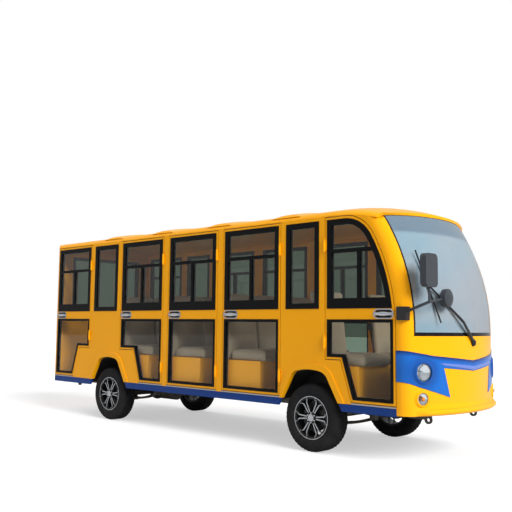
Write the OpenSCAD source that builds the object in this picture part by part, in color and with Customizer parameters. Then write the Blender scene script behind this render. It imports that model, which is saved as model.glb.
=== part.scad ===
// Closed passenger shuttle bus: hollow cab with five hinged doors on the right,
// a driver's door on the left, bench rows inside and a ladder frame on leaf springs.
// X points forward, Y to the left and Z up. The ground is z = 0.

/* [Side bays, from the rear] */
// Depth of the rear wall with its corner posts
rear_post = 45; // [42:1:60]
// Width of the rear door bay
rear_bay_w = 755; // [740:5:800]
// Width of the panel over the rear wheel, between two doors
rear_quarter_w = 592; // [560:1:640]
// Width of each middle door bay
door_bay_w = 775; // [740:5:820]
// Width of the pillar between two doors
pillar_w = 75; // [60:1:100]
// Width of the panel over the front wheel
front_quarter_w = 517; // [500:1:560]
// Width of the front door bay
front_bay_w = 729; // [715:1:760]
// Length of the nose ahead of the front door
nose_l = 287; // [270:1:320]

/* [Body shell] */
// Width over the side walls
body_w = 1520; // [1480:10:1600]
// Thickness of walls and doors
wall_t = 40; // [34:1:44]
// Height of the roof seam
roof_z = 2085; // [2050:5:2140]
// Rise of the roof crown above its seam
crown_h = 130; // [125:1:150]
// Thickness of the roof skin with its lining
roof_t = 28; // [20:1:34]
// Rise of the cross ribs above the roof
rib_h = 18; // [10:1:26]
// Distance between the cross ribs
rib_pitch = 905; // [860:5:930]
// Radius of the rear corners in plan
rear_corner_r = 60; // [40:1:90]
// Height of the lower edge of the side walls
sill_z = 455; // [450:1:470]
// Height of the lower edge of the skirts
skirt_z = 388; // [370:1:400]
// Thickness of the skirts
skirt_t = 25; // [15:1:35]

/* [Front] */
// Radius of the nose in plan
nose_r = 1544; // [1400:2:1700]
// Radius of the rounded front corners
nose_corner_r = 115; // [90:1:125]
// Radius of the front in side view above the belt
rake_r = 1900; // [1850:10:2000]
// Height at which the front starts to lean back
rake_z = 1100; // [1090:5:1130]
// Height of the lower edge of the nose
nose_z = 400; // [390:1:420]
// Height of the lower edge of the windscreen
screen_z = 1040; // [1020:1:1060]
// Width of the pillars beside the windscreen
screen_post = 70; // [64:1:80]
// Thickness of the windscreen
screen_t = 7; // [5:1:10]
// How far the bumper lip stands out
lip_out = 40; // [30:1:50]
// Height of the bumper lip
lip_h = 52; // [40:1:70]
// How far the blue band stands out
band_out = 5; // [3:1:8]
// Radius of the headlamps
head_lamp_r = 74; // [66:1:78]
// Radius of the round front indicators
indicator_r = 50; // [40:1:56]

/* [Doors] */
// Gap around each door
door_gap = 7; // [6:0.5:8]
// Height of the floor of the door bays
bay_z = 467; // [463:1:475]
// Strip between the door bays and the roof seam
head_strip = 6; // [5:1:12]
// Height of the step over the wheel arches
step_z = 820; // [810:1:830]
// Slope of the door edges beside the wheel arches
step_slope = 0.32; // [0.28:0.01:0.34]
// Corner radius of the front door at its top
front_door_r = 340; // [300:5:360]
// Distance of the hinge pins from the side walls
hinge_out = 12; // [12:0.5:14]
// Radius of the hinge pins
hinge_pin_r = 6; // [5:0.5:7]
// Height of one hinge
hinge_h = 90; // [70:1:110]
// Radial clearance of pins and hubs in their bores
pin_play = 0.05; // [0.02:0.01:0.08]

/* [Windows] */
// Margin between a bay and its window
win_edge = 35; // [32:1:45]
// Margin between a wheel panel and its window
quarter_edge = 72; // [60:1:90]
// Height of the lower edge of the upper windows
upper_win_z = 1274; // [1260:1:1290]
// Height of the lower edge of the lower windows
lower_win_z = 499; // [495:1:510]
// Height of the upper edge of the lower windows
lower_win_top = 1165; // [1140:1:1180]
// Width of the upper window frames
frame_w = 42; // [36:1:48]
// Width of the lower window frames
seal_w = 18; // [14:1:28]
// Height of the sill of the sliding windows
slider_sill = 82; // [60:1:90]
// Height of the bar across the upper windows
bar_z = 1770; // [1740:1:1790]
// Width of the bar and of the post under it
bar_w = 32; // [24:1:40]
// Thickness of the side glass
glass_t = 5; // [4:1:6]

/* [Wheels] */
// Outside diameter of the tyres
tyre_d = 600; // [580:2:620]
// Width of the tyres
tyre_w = 175; // [165:1:185]
// Diameter of the rim seat
rim_d = 356; // [340:2:372]
// Distance between the wheel centres of one axle
track = 1300; // [1280:2:1320]
// Distance of the rear axle from the rear door bay
rear_axle_in = 382; // [370:1:400]
// Distance of the front axle from the middle door bay
front_axle_in = 341; // [330:1:360]
// Height of the wheel arches
arch_top = 728; // [715:1:740]
// Radius of the wheel arches at their top
arch_r = 658; // [600:2:700]
// Radius of the upper corners of the wheel arches
arch_corner_r = 120; // [90:1:140]
// Half width of the wheel arches at the lower edge of the side walls
arch_foot = 323; // [315:1:330]
// Slope of the sides of the wheel arches
arch_slope = 0.565; // [0.5:0.005:0.6]
// Radius of the liners over the wheels
liner_r = 428; // [415:1:440]
// Width of the raised arch lip
arch_lip_w = 60; // [40:1:70]
// How far the arch lip stands out
arch_lip_out = 9; // [5:1:12]
// Radius of the wheel spindles
spindle_r = 20; // [18:1:24]

/* [Chassis] */
// Height of the underside of the frame rails
rail_z = 360; // [355:1:372]
// Height of the frame rails
rail_h = 75; // [60:1:80]
// Width of a frame rail
rail_w = 50; // [40:1:55]
// Outside half width of the frame rails
rail_hw = 390; // [370:1:394]
// Thickness of the floor
floor_t = 30; // [20:1:36]
// Radius of the axle tubes
axle_r = 40; // [35:1:44]
// Distance of each king pin from the middle
king_y = 585; // [580:1:590]
// Radius of the king pins
king_r = 14; // [12:1:16]
// Length of the steering arms
arm_l = 120; // [110:1:125]
// Radius of the tie rod
tie_rod_r = 13; // [10:1:15]
// Half length of the leaf springs
spring_hl = 430; // [400:5:450]
// Thickness of the leaf packs
spring_t = 26; // [20:1:32]
// Radius of the holes in the tow lugs
tow_hole_r = 16; // [12:1:18]

/* [Cabin] */
// Height of the seat bases
seat_base_h = 305; // [290:5:320]
// Depth of a seat cushion
cushion_l = 470; // [440:5:490]
// Thickness of a seat cushion
cushion_t = 105; // [80:5:120]
// Height of a seat back
back_h = 560; // [500:5:600]
// Thickness of a seat back
back_t = 95; // [80:5:105]
// Radius of the steering wheel
wheel_rim_r = 195; // [180:1:205]

/* [Hidden] */
$fn = 72;
arc_fn = 360;
hw = body_w / 2;
bay4_x = rear_post + rear_bay_w + rear_quarter_w;
bay_pitch = door_bay_w + pillar_w;
bay1_x = bay4_x + 3 * door_bay_w + 2 * pillar_w + front_quarter_w;
nose_seam = bay1_x + front_bay_w;
nose_x = nose_seam + nose_l;
body_l = nose_x + lip_out;
bays = [
    [rear_post, rear_post + rear_bay_w],
    for (k = [0:2]) [bay4_x + k * bay_pitch, bay4_x + k * bay_pitch + door_bay_w],
    [bay1_x, nose_seam]
];
front_bay = 4;
rear_axle_x = bays[0][1] + rear_axle_in;
front_axle_x = bays[3][1] + front_axle_in;
axle_z = tyre_d / 2;
quarters = [[bays[0][1], bays[1][0]], [bays[3][1], bays[4][0]]];
bay_top = roof_z - head_strip;
upper_win_top = bay_top - win_edge;
floor_z = rail_z + rail_h + floor_t;
inner_hw = hw - wall_t;
screen_hw = hw - screen_post;

// The front leans back on a circle about this axis across the bus
rake_x = nose_x - rake_r;
seam_r = nose_seam - rake_x;

// The roof dips at the front on a circle about this axis across the bus
brow_x = bay1_x + round(0.159 * front_bay_w);
brow_r = round(0.8705 * roof_z);
brow_z = roof_z + crown_h - brow_r;
brow_angle = 24;
brow_air = 1;
roof_front_x = nose_x - round(0.9477 * nose_l);
crown_r = round(2.094 * body_w);
shoulder_r = 70;
rib_l = 300;
rib_air = 3;
rib_first = rear_axle_x + 18;

// Window units
flange_t = 4;
flange_w = 8;
seat_gap = 1;
glass_in = 6;

// Wheel arch steps: distance of the step's corner from the axle, and the side that stays
step_corner = [rear_axle_x - 612, rear_axle_x + 468, 0, 0, front_axle_x + 344];
step_side = [-1, 1, 0, 0, 1];

// Flats that round a corner of a wheel arch, and the reach of the last one over the arc
arch_steps = 6;
arch_lead = 0.6;

// Liners
liner_t = 6;
well_in = rail_hw + 8;

// Hinges
hinge_leaf = 22;
hinge_barrel_r = hinge_out - 1;
ear_h = 12;
ear_gap = 1;
low_hinge = 655;
step_hinge = 975;
high_hinge = 1825;
hinge_z = [[step_hinge, high_hinge], [low_hinge, high_hinge], [low_hinge, high_hinge],
           [low_hinge, high_hinge], [step_hinge, high_hinge]];

// Door handles
handle_l = 200;
handle_h = 84;
handle_z = (upper_win_z + lower_win_top) / 2;
handle_in = 118;

yellow = "#e8a41e";
blue = "#1d3f86";
black = "#1b1c1e";
steel = "#3b3d40";
glass = "#a9c0c8";

// Places its children with x measured from the rear wall
module from_rear() {
    translate([-body_l / 2, 0, 0]) children();
}

// Copies its children to the other side of the bus
module both_sides() {
    children();
    mirror([0, 1, 0]) children();
}

// Upright plate on the right: outline in x and z, outer face at y = -y_out
module slab(y_out, t) {
    translate([0, t - y_out, 0]) rotate([90, 0, 0]) linear_extrude(t) children();
}

// Round-nosed outline with filleted corners, its apex at the origin and pointing along +x
module cap(r, half, fillet, depth) {
    fy = half - fillet;
    fx = sqrt(pow(r - fillet, 2) - fy * fy) - r;
    reach = (r + 1) / (r - fillet);
    tip = [(fx + r) * reach - r, fy * reach];
    difference() {
        intersection() {
            translate([-r, 0]) circle(r, $fn = arc_fn);
            translate([-depth, -half]) square([depth, 2 * half]);
        }
        for (s = [-1, 1]) difference() {
            polygon([[fx, s * fy], [fx, s * (half + 1)], [tip[0], s * (half + 1)], [tip[0], s * tip[1]]]);
            translate([fx, s * fy]) circle(fillet, $fn = arc_fn);
        }
    }
}

// Part of a door bay that gives way to a wheel arch, grown by m
module step_cut(i, m) {
    s = step_side[i];
    edge = m * sqrt(1 + step_slope * step_slope);
    top = step_z + m;
    x = step_corner[i] + s * (edge - step_slope * m);
    polygon([[x, top], [x + s * step_slope * top, 0], [x - s * body_l, 0], [x - s * body_l, top]]);
}

// Outline of a door bay in x and z, shrunk by m
module bay(i, m) {
    x0 = bays[i][0] + m;
    x1 = bays[i][1] - m;
    top = bay_top - m;
    difference() {
        if (i == front_bay) {
            translate([x0, bay_z + m]) square([x1 - x0, rake_z - bay_z - m]);
            intersection() {
                translate([x1, rake_z]) cap(seam_r - m, top - rake_z, front_door_r - m, front_bay_w);
                translate([x0, rake_z - 1]) square([x1 - x0, top - rake_z + 1]);
            }
        } else {
            translate([x0, bay_z + m]) square([x1 - x0, top - bay_z - m]);
        }
        if (step_side[i] != 0) step_cut(i, m);
    }
}

// Outline of a bay's upper or lower window, shrunk by m
module bay_window(i, upper, m) {
    z0 = upper ? upper_win_z : lower_win_z;
    z1 = upper ? upper_win_top : lower_win_top;
    intersection() {
        bay(i, win_edge + m);
        translate([0, z0 + m]) square([body_l, z1 - z0 - 2 * m]);
    }
}

// Outline of the window in a wheel panel, shrunk by m
module quarter_window(i, m) {
    x0 = quarters[i][0] + quarter_edge + m;
    x1 = quarters[i][1] - quarter_edge - m;
    translate([x0, upper_win_z + m]) square([x1 - x0, upper_win_top - upper_win_z - 2 * m]);
}

// Glass area of an upper bay window: a top light over two sliding panes
module slider_lights(i) {
    middle = (bays[i][0] + bays[i][1]) / 2;
    difference() {
        bay_window(i, true, frame_w);
        translate([0, bar_z - bar_w / 2]) square([body_l, bar_w]);
        translate([0, upper_win_z]) square([body_l, slider_sill]);
        translate([middle - bar_w / 2, 0]) square([bar_w, bar_z]);
    }
}

// Glazing unit: a frame seated in the wall by its outer flange, with its pane inside
// child 0 is the flange, child 1 the frame body, child 2 the lights and child 3 the pane
module glazing() {
    difference() {
        union() {
            slab(hw + flange_t, flange_t) children(0);
            slab(hw, wall_t) children(1);
        }
        slab(hw + flange_t + 1, wall_t + flange_t + 2) children(2);
    }
    slab(hw - glass_in, glass_t) children(3);
}

module upper_unit(i) {
    glazing() {
        bay_window(i, true, -flange_w);
        bay_window(i, true, seat_gap);
        slider_lights(i);
        bay_window(i, true, frame_w / 2);
    }
}

module lower_unit(i) {
    glazing() {
        bay_window(i, false, -flange_w);
        bay_window(i, false, seat_gap);
        bay_window(i, false, seal_w);
        bay_window(i, false, seal_w / 2);
    }
}

module quarter_unit(i) {
    glazing() {
        quarter_window(i, -flange_w);
        quarter_window(i, seat_gap);
        quarter_window(i, frame_w);
        quarter_window(i, frame_w / 2);
    }
}

// Edge of a bay that carries the hinges: the rear edge on the front door
function hinge_side(i) = i == front_bay ? -1 : 1;
function hinge_x(i) = i == front_bay ? bays[i][0] + door_gap / 2 : bays[i][1] - door_gap / 2;

// Hinge pins with their ears, on the wall
module hinge_pins(i) {
    s = hinge_side(i);
    x = hinge_x(i);
    inner = hinge_h / 2 + ear_gap;
    for (z = hinge_z[i]) translate([x, -hw - hinge_out, z]) {
        translate([0, 0, -inner - ear_h]) cylinder(h = 2 * (inner + ear_h), r = hinge_pin_r);
        for (e = [-inner - ear_h, inner]) translate([0, 0, e]) {
            cylinder(h = ear_h, r = hinge_barrel_r);
            translate([s > 0 ? 0 : -hinge_leaf, hinge_out - 6, 0]) cube([hinge_leaf, 6, ear_h]);
        }
    }
}

// Hinge barrels with their leaves, on the door
module hinge_barrels(i) {
    s = hinge_side(i);
    for (z = hinge_z[i]) translate([hinge_x(i), -hw - hinge_out, z - hinge_h / 2]) difference() {
        union() {
            cylinder(h = hinge_h, r = hinge_barrel_r);
            translate([s > 0 ? -hinge_leaf : 0, hinge_out - 6, 0]) cube([hinge_leaf, 6, hinge_h]);
        }
        translate([0, 0, -1]) cylinder(h = hinge_h + 2, r = hinge_pin_r + pin_play);
    }
}

// Long rounded outline of the door handles
module stadium(l, h) {
    translate([-(l - h) / 2, -h / 2]) square([l - h, h]);
    for (s = [-1, 1]) translate([s * (l - h) / 2, 0]) circle(d = h);
}

module handle_place(i) {
    x = i == front_bay ? bays[i][1] - handle_in : bays[i][0] + handle_in;
    translate([x, handle_z]) children();
}

// Door panel with its window cuts, pull handle and hinge barrels
module door(i) {
    difference() {
        union() {
            slab(hw, wall_t) bay(i, door_gap);
            slab(hw + 5, 6) handle_place(i) stadium(handle_l, handle_h);
        }
        for (upper = [true, false]) slab(hw + 1, wall_t + 2) bay_window(i, upper, 0);
        slab(hw + 6, 26) handle_place(i) stadium(handle_l - 18, handle_h - 18);
    }
    slab(hw + 9, 10) handle_place(i) square([handle_l - 12, 26], center = true);
    hinge_barrels(i);
}

// Opening of the wheel arch at x, grown by m: a flat arc on slanted sides, with rounded corners
module arch(x, m) {
    slant = sqrt(1 + arch_slope * arch_slope);
    foot = arch_foot + m * slant;
    rise = sill_z - arch_top + arch_r;
    r = arch_r + m;
    f = arch_corner_r + m;
    a = foot + arch_slope * rise - f * slant;
    h = (a * arch_slope + sqrt(pow(slant * (r - f), 2) - a * a)) / (slant * slant);
    corner = [a - arch_slope * h, h];
    from = atan(arch_slope);
    turn = (atan2(corner[1], corner[0]) - from) / arch_steps;
    bend = [for (k = [0:arch_steps - 1]) corner + f * [cos(from + k * turn), sin(from + k * turn)]];
    last = from + (arch_steps - 1) * turn;
    lead = bend[arch_steps - 1] + arch_lead * f * [-sin(last), cos(last)];
    half = concat([[foot + arch_slope * (rise + r), -r]], bend, [lead]);
    translate([x, arch_top - arch_r]) intersection() {
        circle(r, $fn = arc_fn);
        polygon([for (p = half) p, for (k = [len(half) - 1:-1:0]) [-half[k][0], half[k][1]]]);
    }
}

// Raised rim around a wheel arch, ending short of the door behind the front wheel
module arch_lip(x) {
    slab(hw + arch_lip_out, arch_lip_out + 1) intersection() {
        difference() {
            arch(x, arch_lip_w);
            arch(x, 0);
        }
        translate([x > body_l / 2 ? quarters[1][0] + 2 : 0, sill_z]) square([body_l, roof_z]);
    }
}

// Wall outline with its arches and the windows of the wheel panels cut
module wall_outline() {
    difference() {
        union() {
            translate([rear_post, sill_z]) square([bay1_x - rear_post, roof_z - sill_z]);
            translate([bay1_x, sill_z]) square([front_bay_w, bay_z - sill_z]);
            intersection() {
                step_cut(front_bay, 0);
                translate([bay1_x - 1, sill_z]) square([front_bay_w, step_z - sill_z]);
            }
        }
        for (x = [rear_axle_x, front_axle_x]) arch(x, 0);
        for (q = [0, 1]) quarter_window(q, 0);
    }
}

module arches() {
    for (x = [rear_axle_x, front_axle_x]) arch_lip(x);
}

module side_wall_right() color(yellow) from_rear() {
    slab(hw, wall_t) difference() {
        wall_outline();
        for (i = [0:3]) bay(i, 0);
    }
    arches();
    for (i = [0:3]) hinge_pins(i);
    hinge_pins(front_bay);
}

module side_wall_left() color(yellow) from_rear() mirror([0, 1, 0]) {
    slab(hw, wall_t) difference() {
        wall_outline();
        for (i = [0:3], upper = [true, false]) bay_window(i, upper, 0);
    }
    arches();
    hinge_pins(front_bay);
}

// Nose outline in plan, grown by d, its apex at x = 0
module nose_plan(d, depth) {
    translate([d, 0]) cap(nose_r + d, hw + d, nose_corner_r + d, depth);
}

// Solid below the leaning front, grown by d: upright below the belt and raked above it
module front_block(d, depth) {
    translate([nose_x, 0, 0]) linear_extrude(rake_z) nose_plan(d, depth);
    translate([rake_x, 0, rake_z]) rotate([90, 0, 0])
        rotate_extrude(angle = 50, $fn = arc_fn) translate([rake_r, 0]) nose_plan(d, min(depth, rake_r - 1));
}

// Cross-section of the roof with its apex at x = brow_r, dropped by d and narrowed to half
module roof_cap(d, half) {
    translate([brow_r - d, 0]) cap(crown_r - d, half, shoulder_r, crown_h - d + 1);
}

module roof_section() {
    difference() {
        translate([brow_r, 0]) cap(crown_r, hw, shoulder_r, crown_h);
        roof_cap(roof_t, inner_hw);
    }
}

// Runs a roof section straight back from the brow, or bends it down over the windscreen
module roof_run(x, l) {
    translate([x, 0, brow_z]) rotate([0, -90, 0]) linear_extrude(l) children();
}

module roof_bend() {
    translate([brow_x, 0, brow_z]) rotate(-120, [1, 1, 1])
        rotate_extrude(angle = brow_angle, $fn = arc_fn) children();
}

// Space taken by the roof over the windscreen, with the air above it, lowered by d
module over_brow(d) {
    roof_bend() difference() {
        translate([brow_r - crown_h - d, -hw - 20]) square([crown_h + 400, 2 * hw + 40]);
        roof_cap(roof_t + d, inner_hw - d);
    }
    roof_run(brow_x, front_bay_w) translate([brow_r - crown_h - d, -hw - 20])
        square([crown_h + 400, 2 * hw + 40]);
}

// Outline of the body in plan, with rounded rear corners
module body_plan() {
    r = rear_corner_r;
    translate([0, r - hw]) square([body_l, 2 * (hw - r)]);
    translate([r, -hw]) square([body_l, 2 * hw]);
    for (s = [-1, 1]) translate([r, s * (hw - r)]) circle(r);
}

// Cross rib swelling out of the roof
module rib(x) {
    bump_r = (rib_l * rib_l / 4 + rib_h * rib_h) / (2 * rib_h);
    reach = asin((hw - 10) / crown_r);
    intersection() {
        translate([x, 0, roof_z + crown_h - crown_r]) rotate([0, -90, 0]) rotate([0, 0, -reach])
            rotate_extrude(angle = 2 * reach, $fn = arc_fn) intersection() {
                translate([crown_r + rib_h - bump_r, 0]) circle(bump_r, $fn = arc_fn);
                translate([crown_r - 6, -rib_l]) square([rib_h + 8, 2 * rib_l]);
            }
        roof_run(x + rib_l, 2 * rib_l) translate([brow_r + rib_h + rib_air, 0])
            cap(crown_r + rib_h + rib_air, hw, shoulder_r + rib_h, crown_h + rib_h);
    }
}

module roof() color(yellow) from_rear() {
    intersection() {
        roof_run(brow_x, brow_x) roof_section();
        linear_extrude(2 * roof_z) body_plan();
    }
    for (k = [0:3]) rib(rib_first + k * rib_pitch);
}

// Drop below its apex, at y, of a crown of radius r and half width half with rounded shoulders
function cap_drop(y, r, half) =
    let (fy = half - shoulder_r)
    let (fz = r - sqrt(pow(r - shoulder_r, 2) - fy * fy))
    abs(y) < fy * r / (r - shoulder_r)
        ? r - sqrt(r * r - y * y)
        : fz - sqrt(max(0, shoulder_r * shoulder_r - pow(abs(y) - fy, 2)));
shoulder_y = hw - shoulder_r;
shoulder_drop = crown_r - sqrt(pow(crown_r - shoulder_r, 2) - shoulder_y * shoulder_y);
tangent_y = shoulder_y * crown_r / (crown_r - shoulder_r);
edge_y = shoulder_y + sqrt(shoulder_r * shoulder_r - pow(crown_h - shoulder_drop, 2));

// Places across the roof at which the brow is lofted, closer together on the shoulders
brow_ys = concat([for (k = [0:10]) tangent_y * k / 10],
                 [for (k = [1:3]) shoulder_y + (edge_y - shoulder_y) * sin(90 * (k + 1) / 4)]);
brow_across = concat([for (k = [len(brow_ys) - 1:-1:1]) -brow_ys[k]], brow_ys);
brow_steps = 12;
brow_in = inner_hw / hw;
brow_lift = 4;

// One point of the brow: place across, share of the way forward, and whether on the inside
function brow_point(y, t, inside) =
    let (front = roof_front_x - nose_r + sqrt(nose_r * nose_r - y * y))
    let (w = inside ? y * brow_in : y)
    let (lining = roof_t - brow_lift + cap_drop(w, crown_r - roof_t, inner_hw + brow_lift))
    let (rho = brow_r - (inside ? min(crown_h - brow_lift, lining) : cap_drop(y, crown_r, hw)))
    let (x = (front - brow_x) * t)
    [brow_x + x, w, brow_z + sqrt(rho * rho - x * x)];

// Brow lofted from the end of the straight roof to the curved edge over the windscreen
module roof_front() color(yellow) from_rear() {
    n = len(brow_across);
    m = brow_steps + 1;
    layer = n * m;
    points = [for (inside = [false, true], k = [0:brow_steps], y = brow_across)
        brow_point(y, k / brow_steps, inside)];
    skin = [for (k = [0:m - 2], j = [0:n - 2]) let (a = k * n + j, b = a + n) [a, b, b + 1, a + 1]];
    rim = concat([for (j = [0:n - 1]) j], [for (k = [1:m - 1]) k * n + n - 1],
                 [for (j = [n - 2:-1:0]) (m - 1) * n + j], [for (k = [m - 2:-1:1]) k * n]);
    polyhedron(points, concat(
        [for (f = skin) [f[3], f[2], f[1], f[0]]],
        [for (f = skin) [for (v = f) v + layer]],
        [for (k = [0:len(rim) - 1]) let (a = rim[k], b = rim[(k + 1) % len(rim)])
            [a + layer, b + layer, b, a]]));
}

// Prism along x from an outline in y and z
module front_prism(outline_x, l) {
    translate([outline_x, 0, 0]) rotate(120, [1, 1, 1]) linear_extrude(l) children();
}

// Corners of one half of the blue band, as shares of the half width and of the belt height
band_half = [[0, 0.759], [0.687, 0.801], [1.06, 0.8455], [1.06, 0.6255],
             [0.842, 0.571], [0.4513, 0.491], [0.5395, 0.71], [0, 0.68]];

// Outline of the blue band: a shallow V between the lamps, widening to the sides
module band_outline() {
    half = [for (p = band_half) [p[0] * hw, p[1] * rake_z]];
    polygon([for (p = half) p, for (k = [len(half) - 2:-1:1]) [-half[k][0], half[k][1]]]);
}

// Places its children on the front surface of the nose, with z outward
module on_nose(y, z) {
    turn = asin(y / nose_r);
    translate([nose_x - nose_r + nose_r * cos(turn), y, z]) rotate([0, 0, turn]) rotate([0, 90, 0]) children();
}

// Depth along x of the block from which the front shell is cut
front_depth = 1000;
lamp_y = round(0.805 * hw);
lamp_z = round(0.68 * rake_z);
collar_w = 13;
collar_out = 16;
indicator_y = round(0.821 * hw);
indicator_z = round(0.488 * rake_z);
pod_out = 14;
lip_half = 0.76;
lip_slope = 40;
pod_r = indicator_r + 11;

module front_hollow() {
    front_block(-wall_t, front_depth + 20);
}

// Rounded bumper lip along the nose, with a sloped shoulder above it
module lip() {
    roll = lip_h / 2;
    reach = asin(lip_half * hw / nose_r);
    translate([nose_x - nose_r, 0, nose_z]) rotate([0, 0, -reach])
        rotate_extrude(angle = 2 * reach, $fn = arc_fn) {
            translate([nose_r + lip_out - roll, roll]) circle(roll);
            translate([nose_r - wall_t / 2, 0]) square([wall_t / 2 + lip_out - roll, lip_h]);
            polygon([[nose_r - wall_t / 2, lip_h - 1], [nose_r + lip_out - roll, lip_h - 1],
                     [nose_r + 1, lip_h + lip_slope], [nose_r - wall_t / 2, lip_h + lip_slope]]);
        }
}

module front_shell() color(yellow) from_rear() {
    difference() {
        union() {
            front_block(0, front_depth);
            lip();
            for (s = [-1, 1]) on_nose(s * indicator_y, indicator_z)
                translate([0, 0, -wall_t / 2]) cylinder(h = wall_t / 2 + pod_out, r = pod_r);
        }
        front_hollow();
        translate([-1, -hw - 1, -1]) cube([bay1_x + 1, 2 * hw + 2, 2 * roof_z]);
        translate([-1, -hw - 1, -1]) cube([nose_seam + 1, 2 * hw + 2, bay_z + 2]);
        translate([-1, -hw - 100, -1]) cube([2 * body_l, 2 * hw + 200, nose_z + 1]);
        translate([0, -screen_hw, screen_z]) cube([2 * body_l, 2 * screen_hw, roof_z]);
        both_sides() slab(hw + 1, wall_t + 2) {
            bay(front_bay, 0);
            step_cut(front_bay, 0);
        }
        over_brow(brow_air);
        front_prism(nose_seam - 1, 2 * nose_l) band_outline();
        for (s = [-1, 1]) on_nose(s * indicator_y, indicator_z)
            translate([0, 0, -wall_t]) cylinder(h = 2 * wall_t, r = indicator_r);
    }
}

module front_band() color(blue) from_rear() {
    difference() {
        union() {
            intersection() {
                translate([nose_x, 0, nose_z]) linear_extrude(rake_z - nose_z) difference() {
                    nose_plan(band_out, nose_l + band_out);
                    nose_plan(-wall_t, front_depth);
                }
                front_prism(nose_seam, 2 * nose_l) band_outline();
            }
            for (s = [-1, 1]) on_nose(s * lamp_y, lamp_z)
                translate([0, 0, -wall_t / 2])
                    cylinder(h = wall_t / 2 + collar_out, r = head_lamp_r + collar_w);
        }
        for (s = [-1, 1]) on_nose(s * lamp_y, lamp_z)
            translate([0, 0, -2 * wall_t]) cylinder(h = 4 * wall_t, r = head_lamp_r);
    }
}

module windscreen() color(glass) from_rear() {
    difference() {
        intersection() {
            front_block(-screen_in, front_depth);
            translate([brow_x, -screen_hw, screen_z]) cube([body_l, 2 * screen_hw, roof_z]);
        }
        front_block(-screen_in - screen_t, front_depth + 20);
        over_brow(brow_air);
    }
}
screen_in = 4;

// Round lamp with a bowed lens
module round_lamp(r, depth, rise) {
    bow = (r * r + rise * rise) / (2 * rise);
    translate([0, 0, -depth]) cylinder(h = depth, r = r);
    intersection() {
        translate([0, 0, rise - bow]) sphere(bow, $fn = arc_fn);
        translate([0, 0, -1]) cylinder(h = rise + 2, r = r);
    }
}

module head_lamps() color("#e6e8ea") from_rear() {
    for (s = [-1, 1]) on_nose(s * lamp_y, lamp_z) round_lamp(head_lamp_r, wall_t, 12);
}

module indicators() color("#e07b1a") from_rear() {
    for (s = [-1, 1]) on_nose(s * indicator_y, indicator_z)
        translate([0, 0, pod_out - 4]) round_lamp(indicator_r, wall_t / 2, 8);
}

// Windows that do not open: over the wheels and, on the left, beside the benches
module fixed_windows() color(glass) from_rear() {
    both_sides() for (q = [0, 1]) quarter_unit(q);
    mirror([0, 1, 0]) for (i = [0:3]) {
        upper_unit(i);
        lower_unit(i);
    }
}

rear_win_hw = 540;
rear_win_top = 1990;
tail_y = 640;
tail_w = 90;
tail_z = 820;
tail_h = 260;
tail_t = 10;

module rear_opening(m) {
    translate([m - rear_win_hw, upper_win_z + m])
        square([2 * (rear_win_hw - m), rear_win_top - upper_win_z - 2 * m]);
}

module tail_blocks() {
    for (s = [-1, 1]) translate([0, s * tail_y - tail_w / 2, tail_z]) cube([tail_t, tail_w, tail_h]);
}

module rear_wall() color(yellow) from_rear() {
    difference() {
        intersection() {
            union() {
                translate([0, -hw, skirt_z]) cube([wall_t, body_w, roof_z - skirt_z]);
                both_sides() translate([0, -hw, skirt_z]) cube([rear_post, wall_t, roof_z - skirt_z]);
                roof_run(wall_t, wall_t) roof_cap(roof_t + 0.5, inner_hw - 0.5);
            }
            linear_extrude(2 * roof_z) body_plan();
        }
        front_prism(-1, wall_t + 2) rear_opening(0);
        tail_blocks();
    }
}

module rear_window() color(glass) from_rear() {
    difference() {
        front_prism(0, wall_t) rear_opening(0);
        front_prism(-1, wall_t + 2) rear_opening(frame_w);
    }
    front_prism(glass_in, glass_t) rear_opening(frame_w / 2);
}

module tail_lamps() color("#b3221d") from_rear() tail_blocks();

module skirts() color(blue) from_rear() both_sides() slab(hw, skirt_t) difference() {
    translate([rear_post, skirt_z]) square([nose_seam - rear_post, sill_z - skirt_z]);
    for (x = [rear_axle_x, front_axle_x]) arch(x, 0);
}

// Cylinder across the right side of the bus, from y = -y1 to y = -y0
module across(x, z, y0, y1, r) {
    translate([x, -y0, z]) rotate([90, 0, 0]) cylinder(h = y1 - y0, r = r, $fn = arc_fn);
}

module wheel_liners() color(black) from_rear() both_sides() for (x = [rear_axle_x, front_axle_x])
    difference() {
        across(x, axle_z, well_in - liner_t, inner_hw, liner_r + liner_t);
        across(x, axle_z, well_in, inner_hw + 1, liner_r);
        translate([0, -hw, -liner_r]) cube([body_l, body_w, liner_r + floor_z - floor_t]);
    }

// Space of the wheel wells, grown by m
module wells(m) {
    both_sides() for (x = [rear_axle_x, front_axle_x])
        across(x, axle_z, well_in - liner_t - m, hw, liner_r + liner_t + m);
}

module floor_pan() color(steel) from_rear() {
    difference() {
        union() {
            translate([wall_t, -inner_hw, floor_z - floor_t])
                cube([nose_seam - wall_t, 2 * inner_hw, floor_t]);
            translate([nose_x - wall_t - 1, 0, floor_z - floor_t]) linear_extrude(floor_t)
                cap(nose_r - wall_t - 1, inner_hw, nose_corner_r - wall_t, nose_l);
        }
        wells(0.5);
    }
}

// Rows of seats: place of the back's rear face, and the way they face
rows = [[front_axle_x - 18, 1, 2], for (i = [3, 2, 1]) [bays[i][0] - 42, 1, 3], [bays[1][0] - 152, -1, 3]];
seat_hw = inner_hw - 24;
seat_z = floor_z + seat_base_h;
seat_gap_y = 10;
back_lean = 70;

// Mirrors a row's children for a row that faces backward
module row_place(row) {
    translate([row[0], 0, 0]) mirror([row[1] < 0 ? 1 : 0, 0, 0]) children();
}

module seat_bases() color(yellow) from_rear() difference() {
    for (row = rows) row_place(row)
        translate([0, -seat_hw, floor_z]) cube([cushion_l + back_t - 60, 2 * seat_hw, seat_base_h]);
    wells(6);
}

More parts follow.
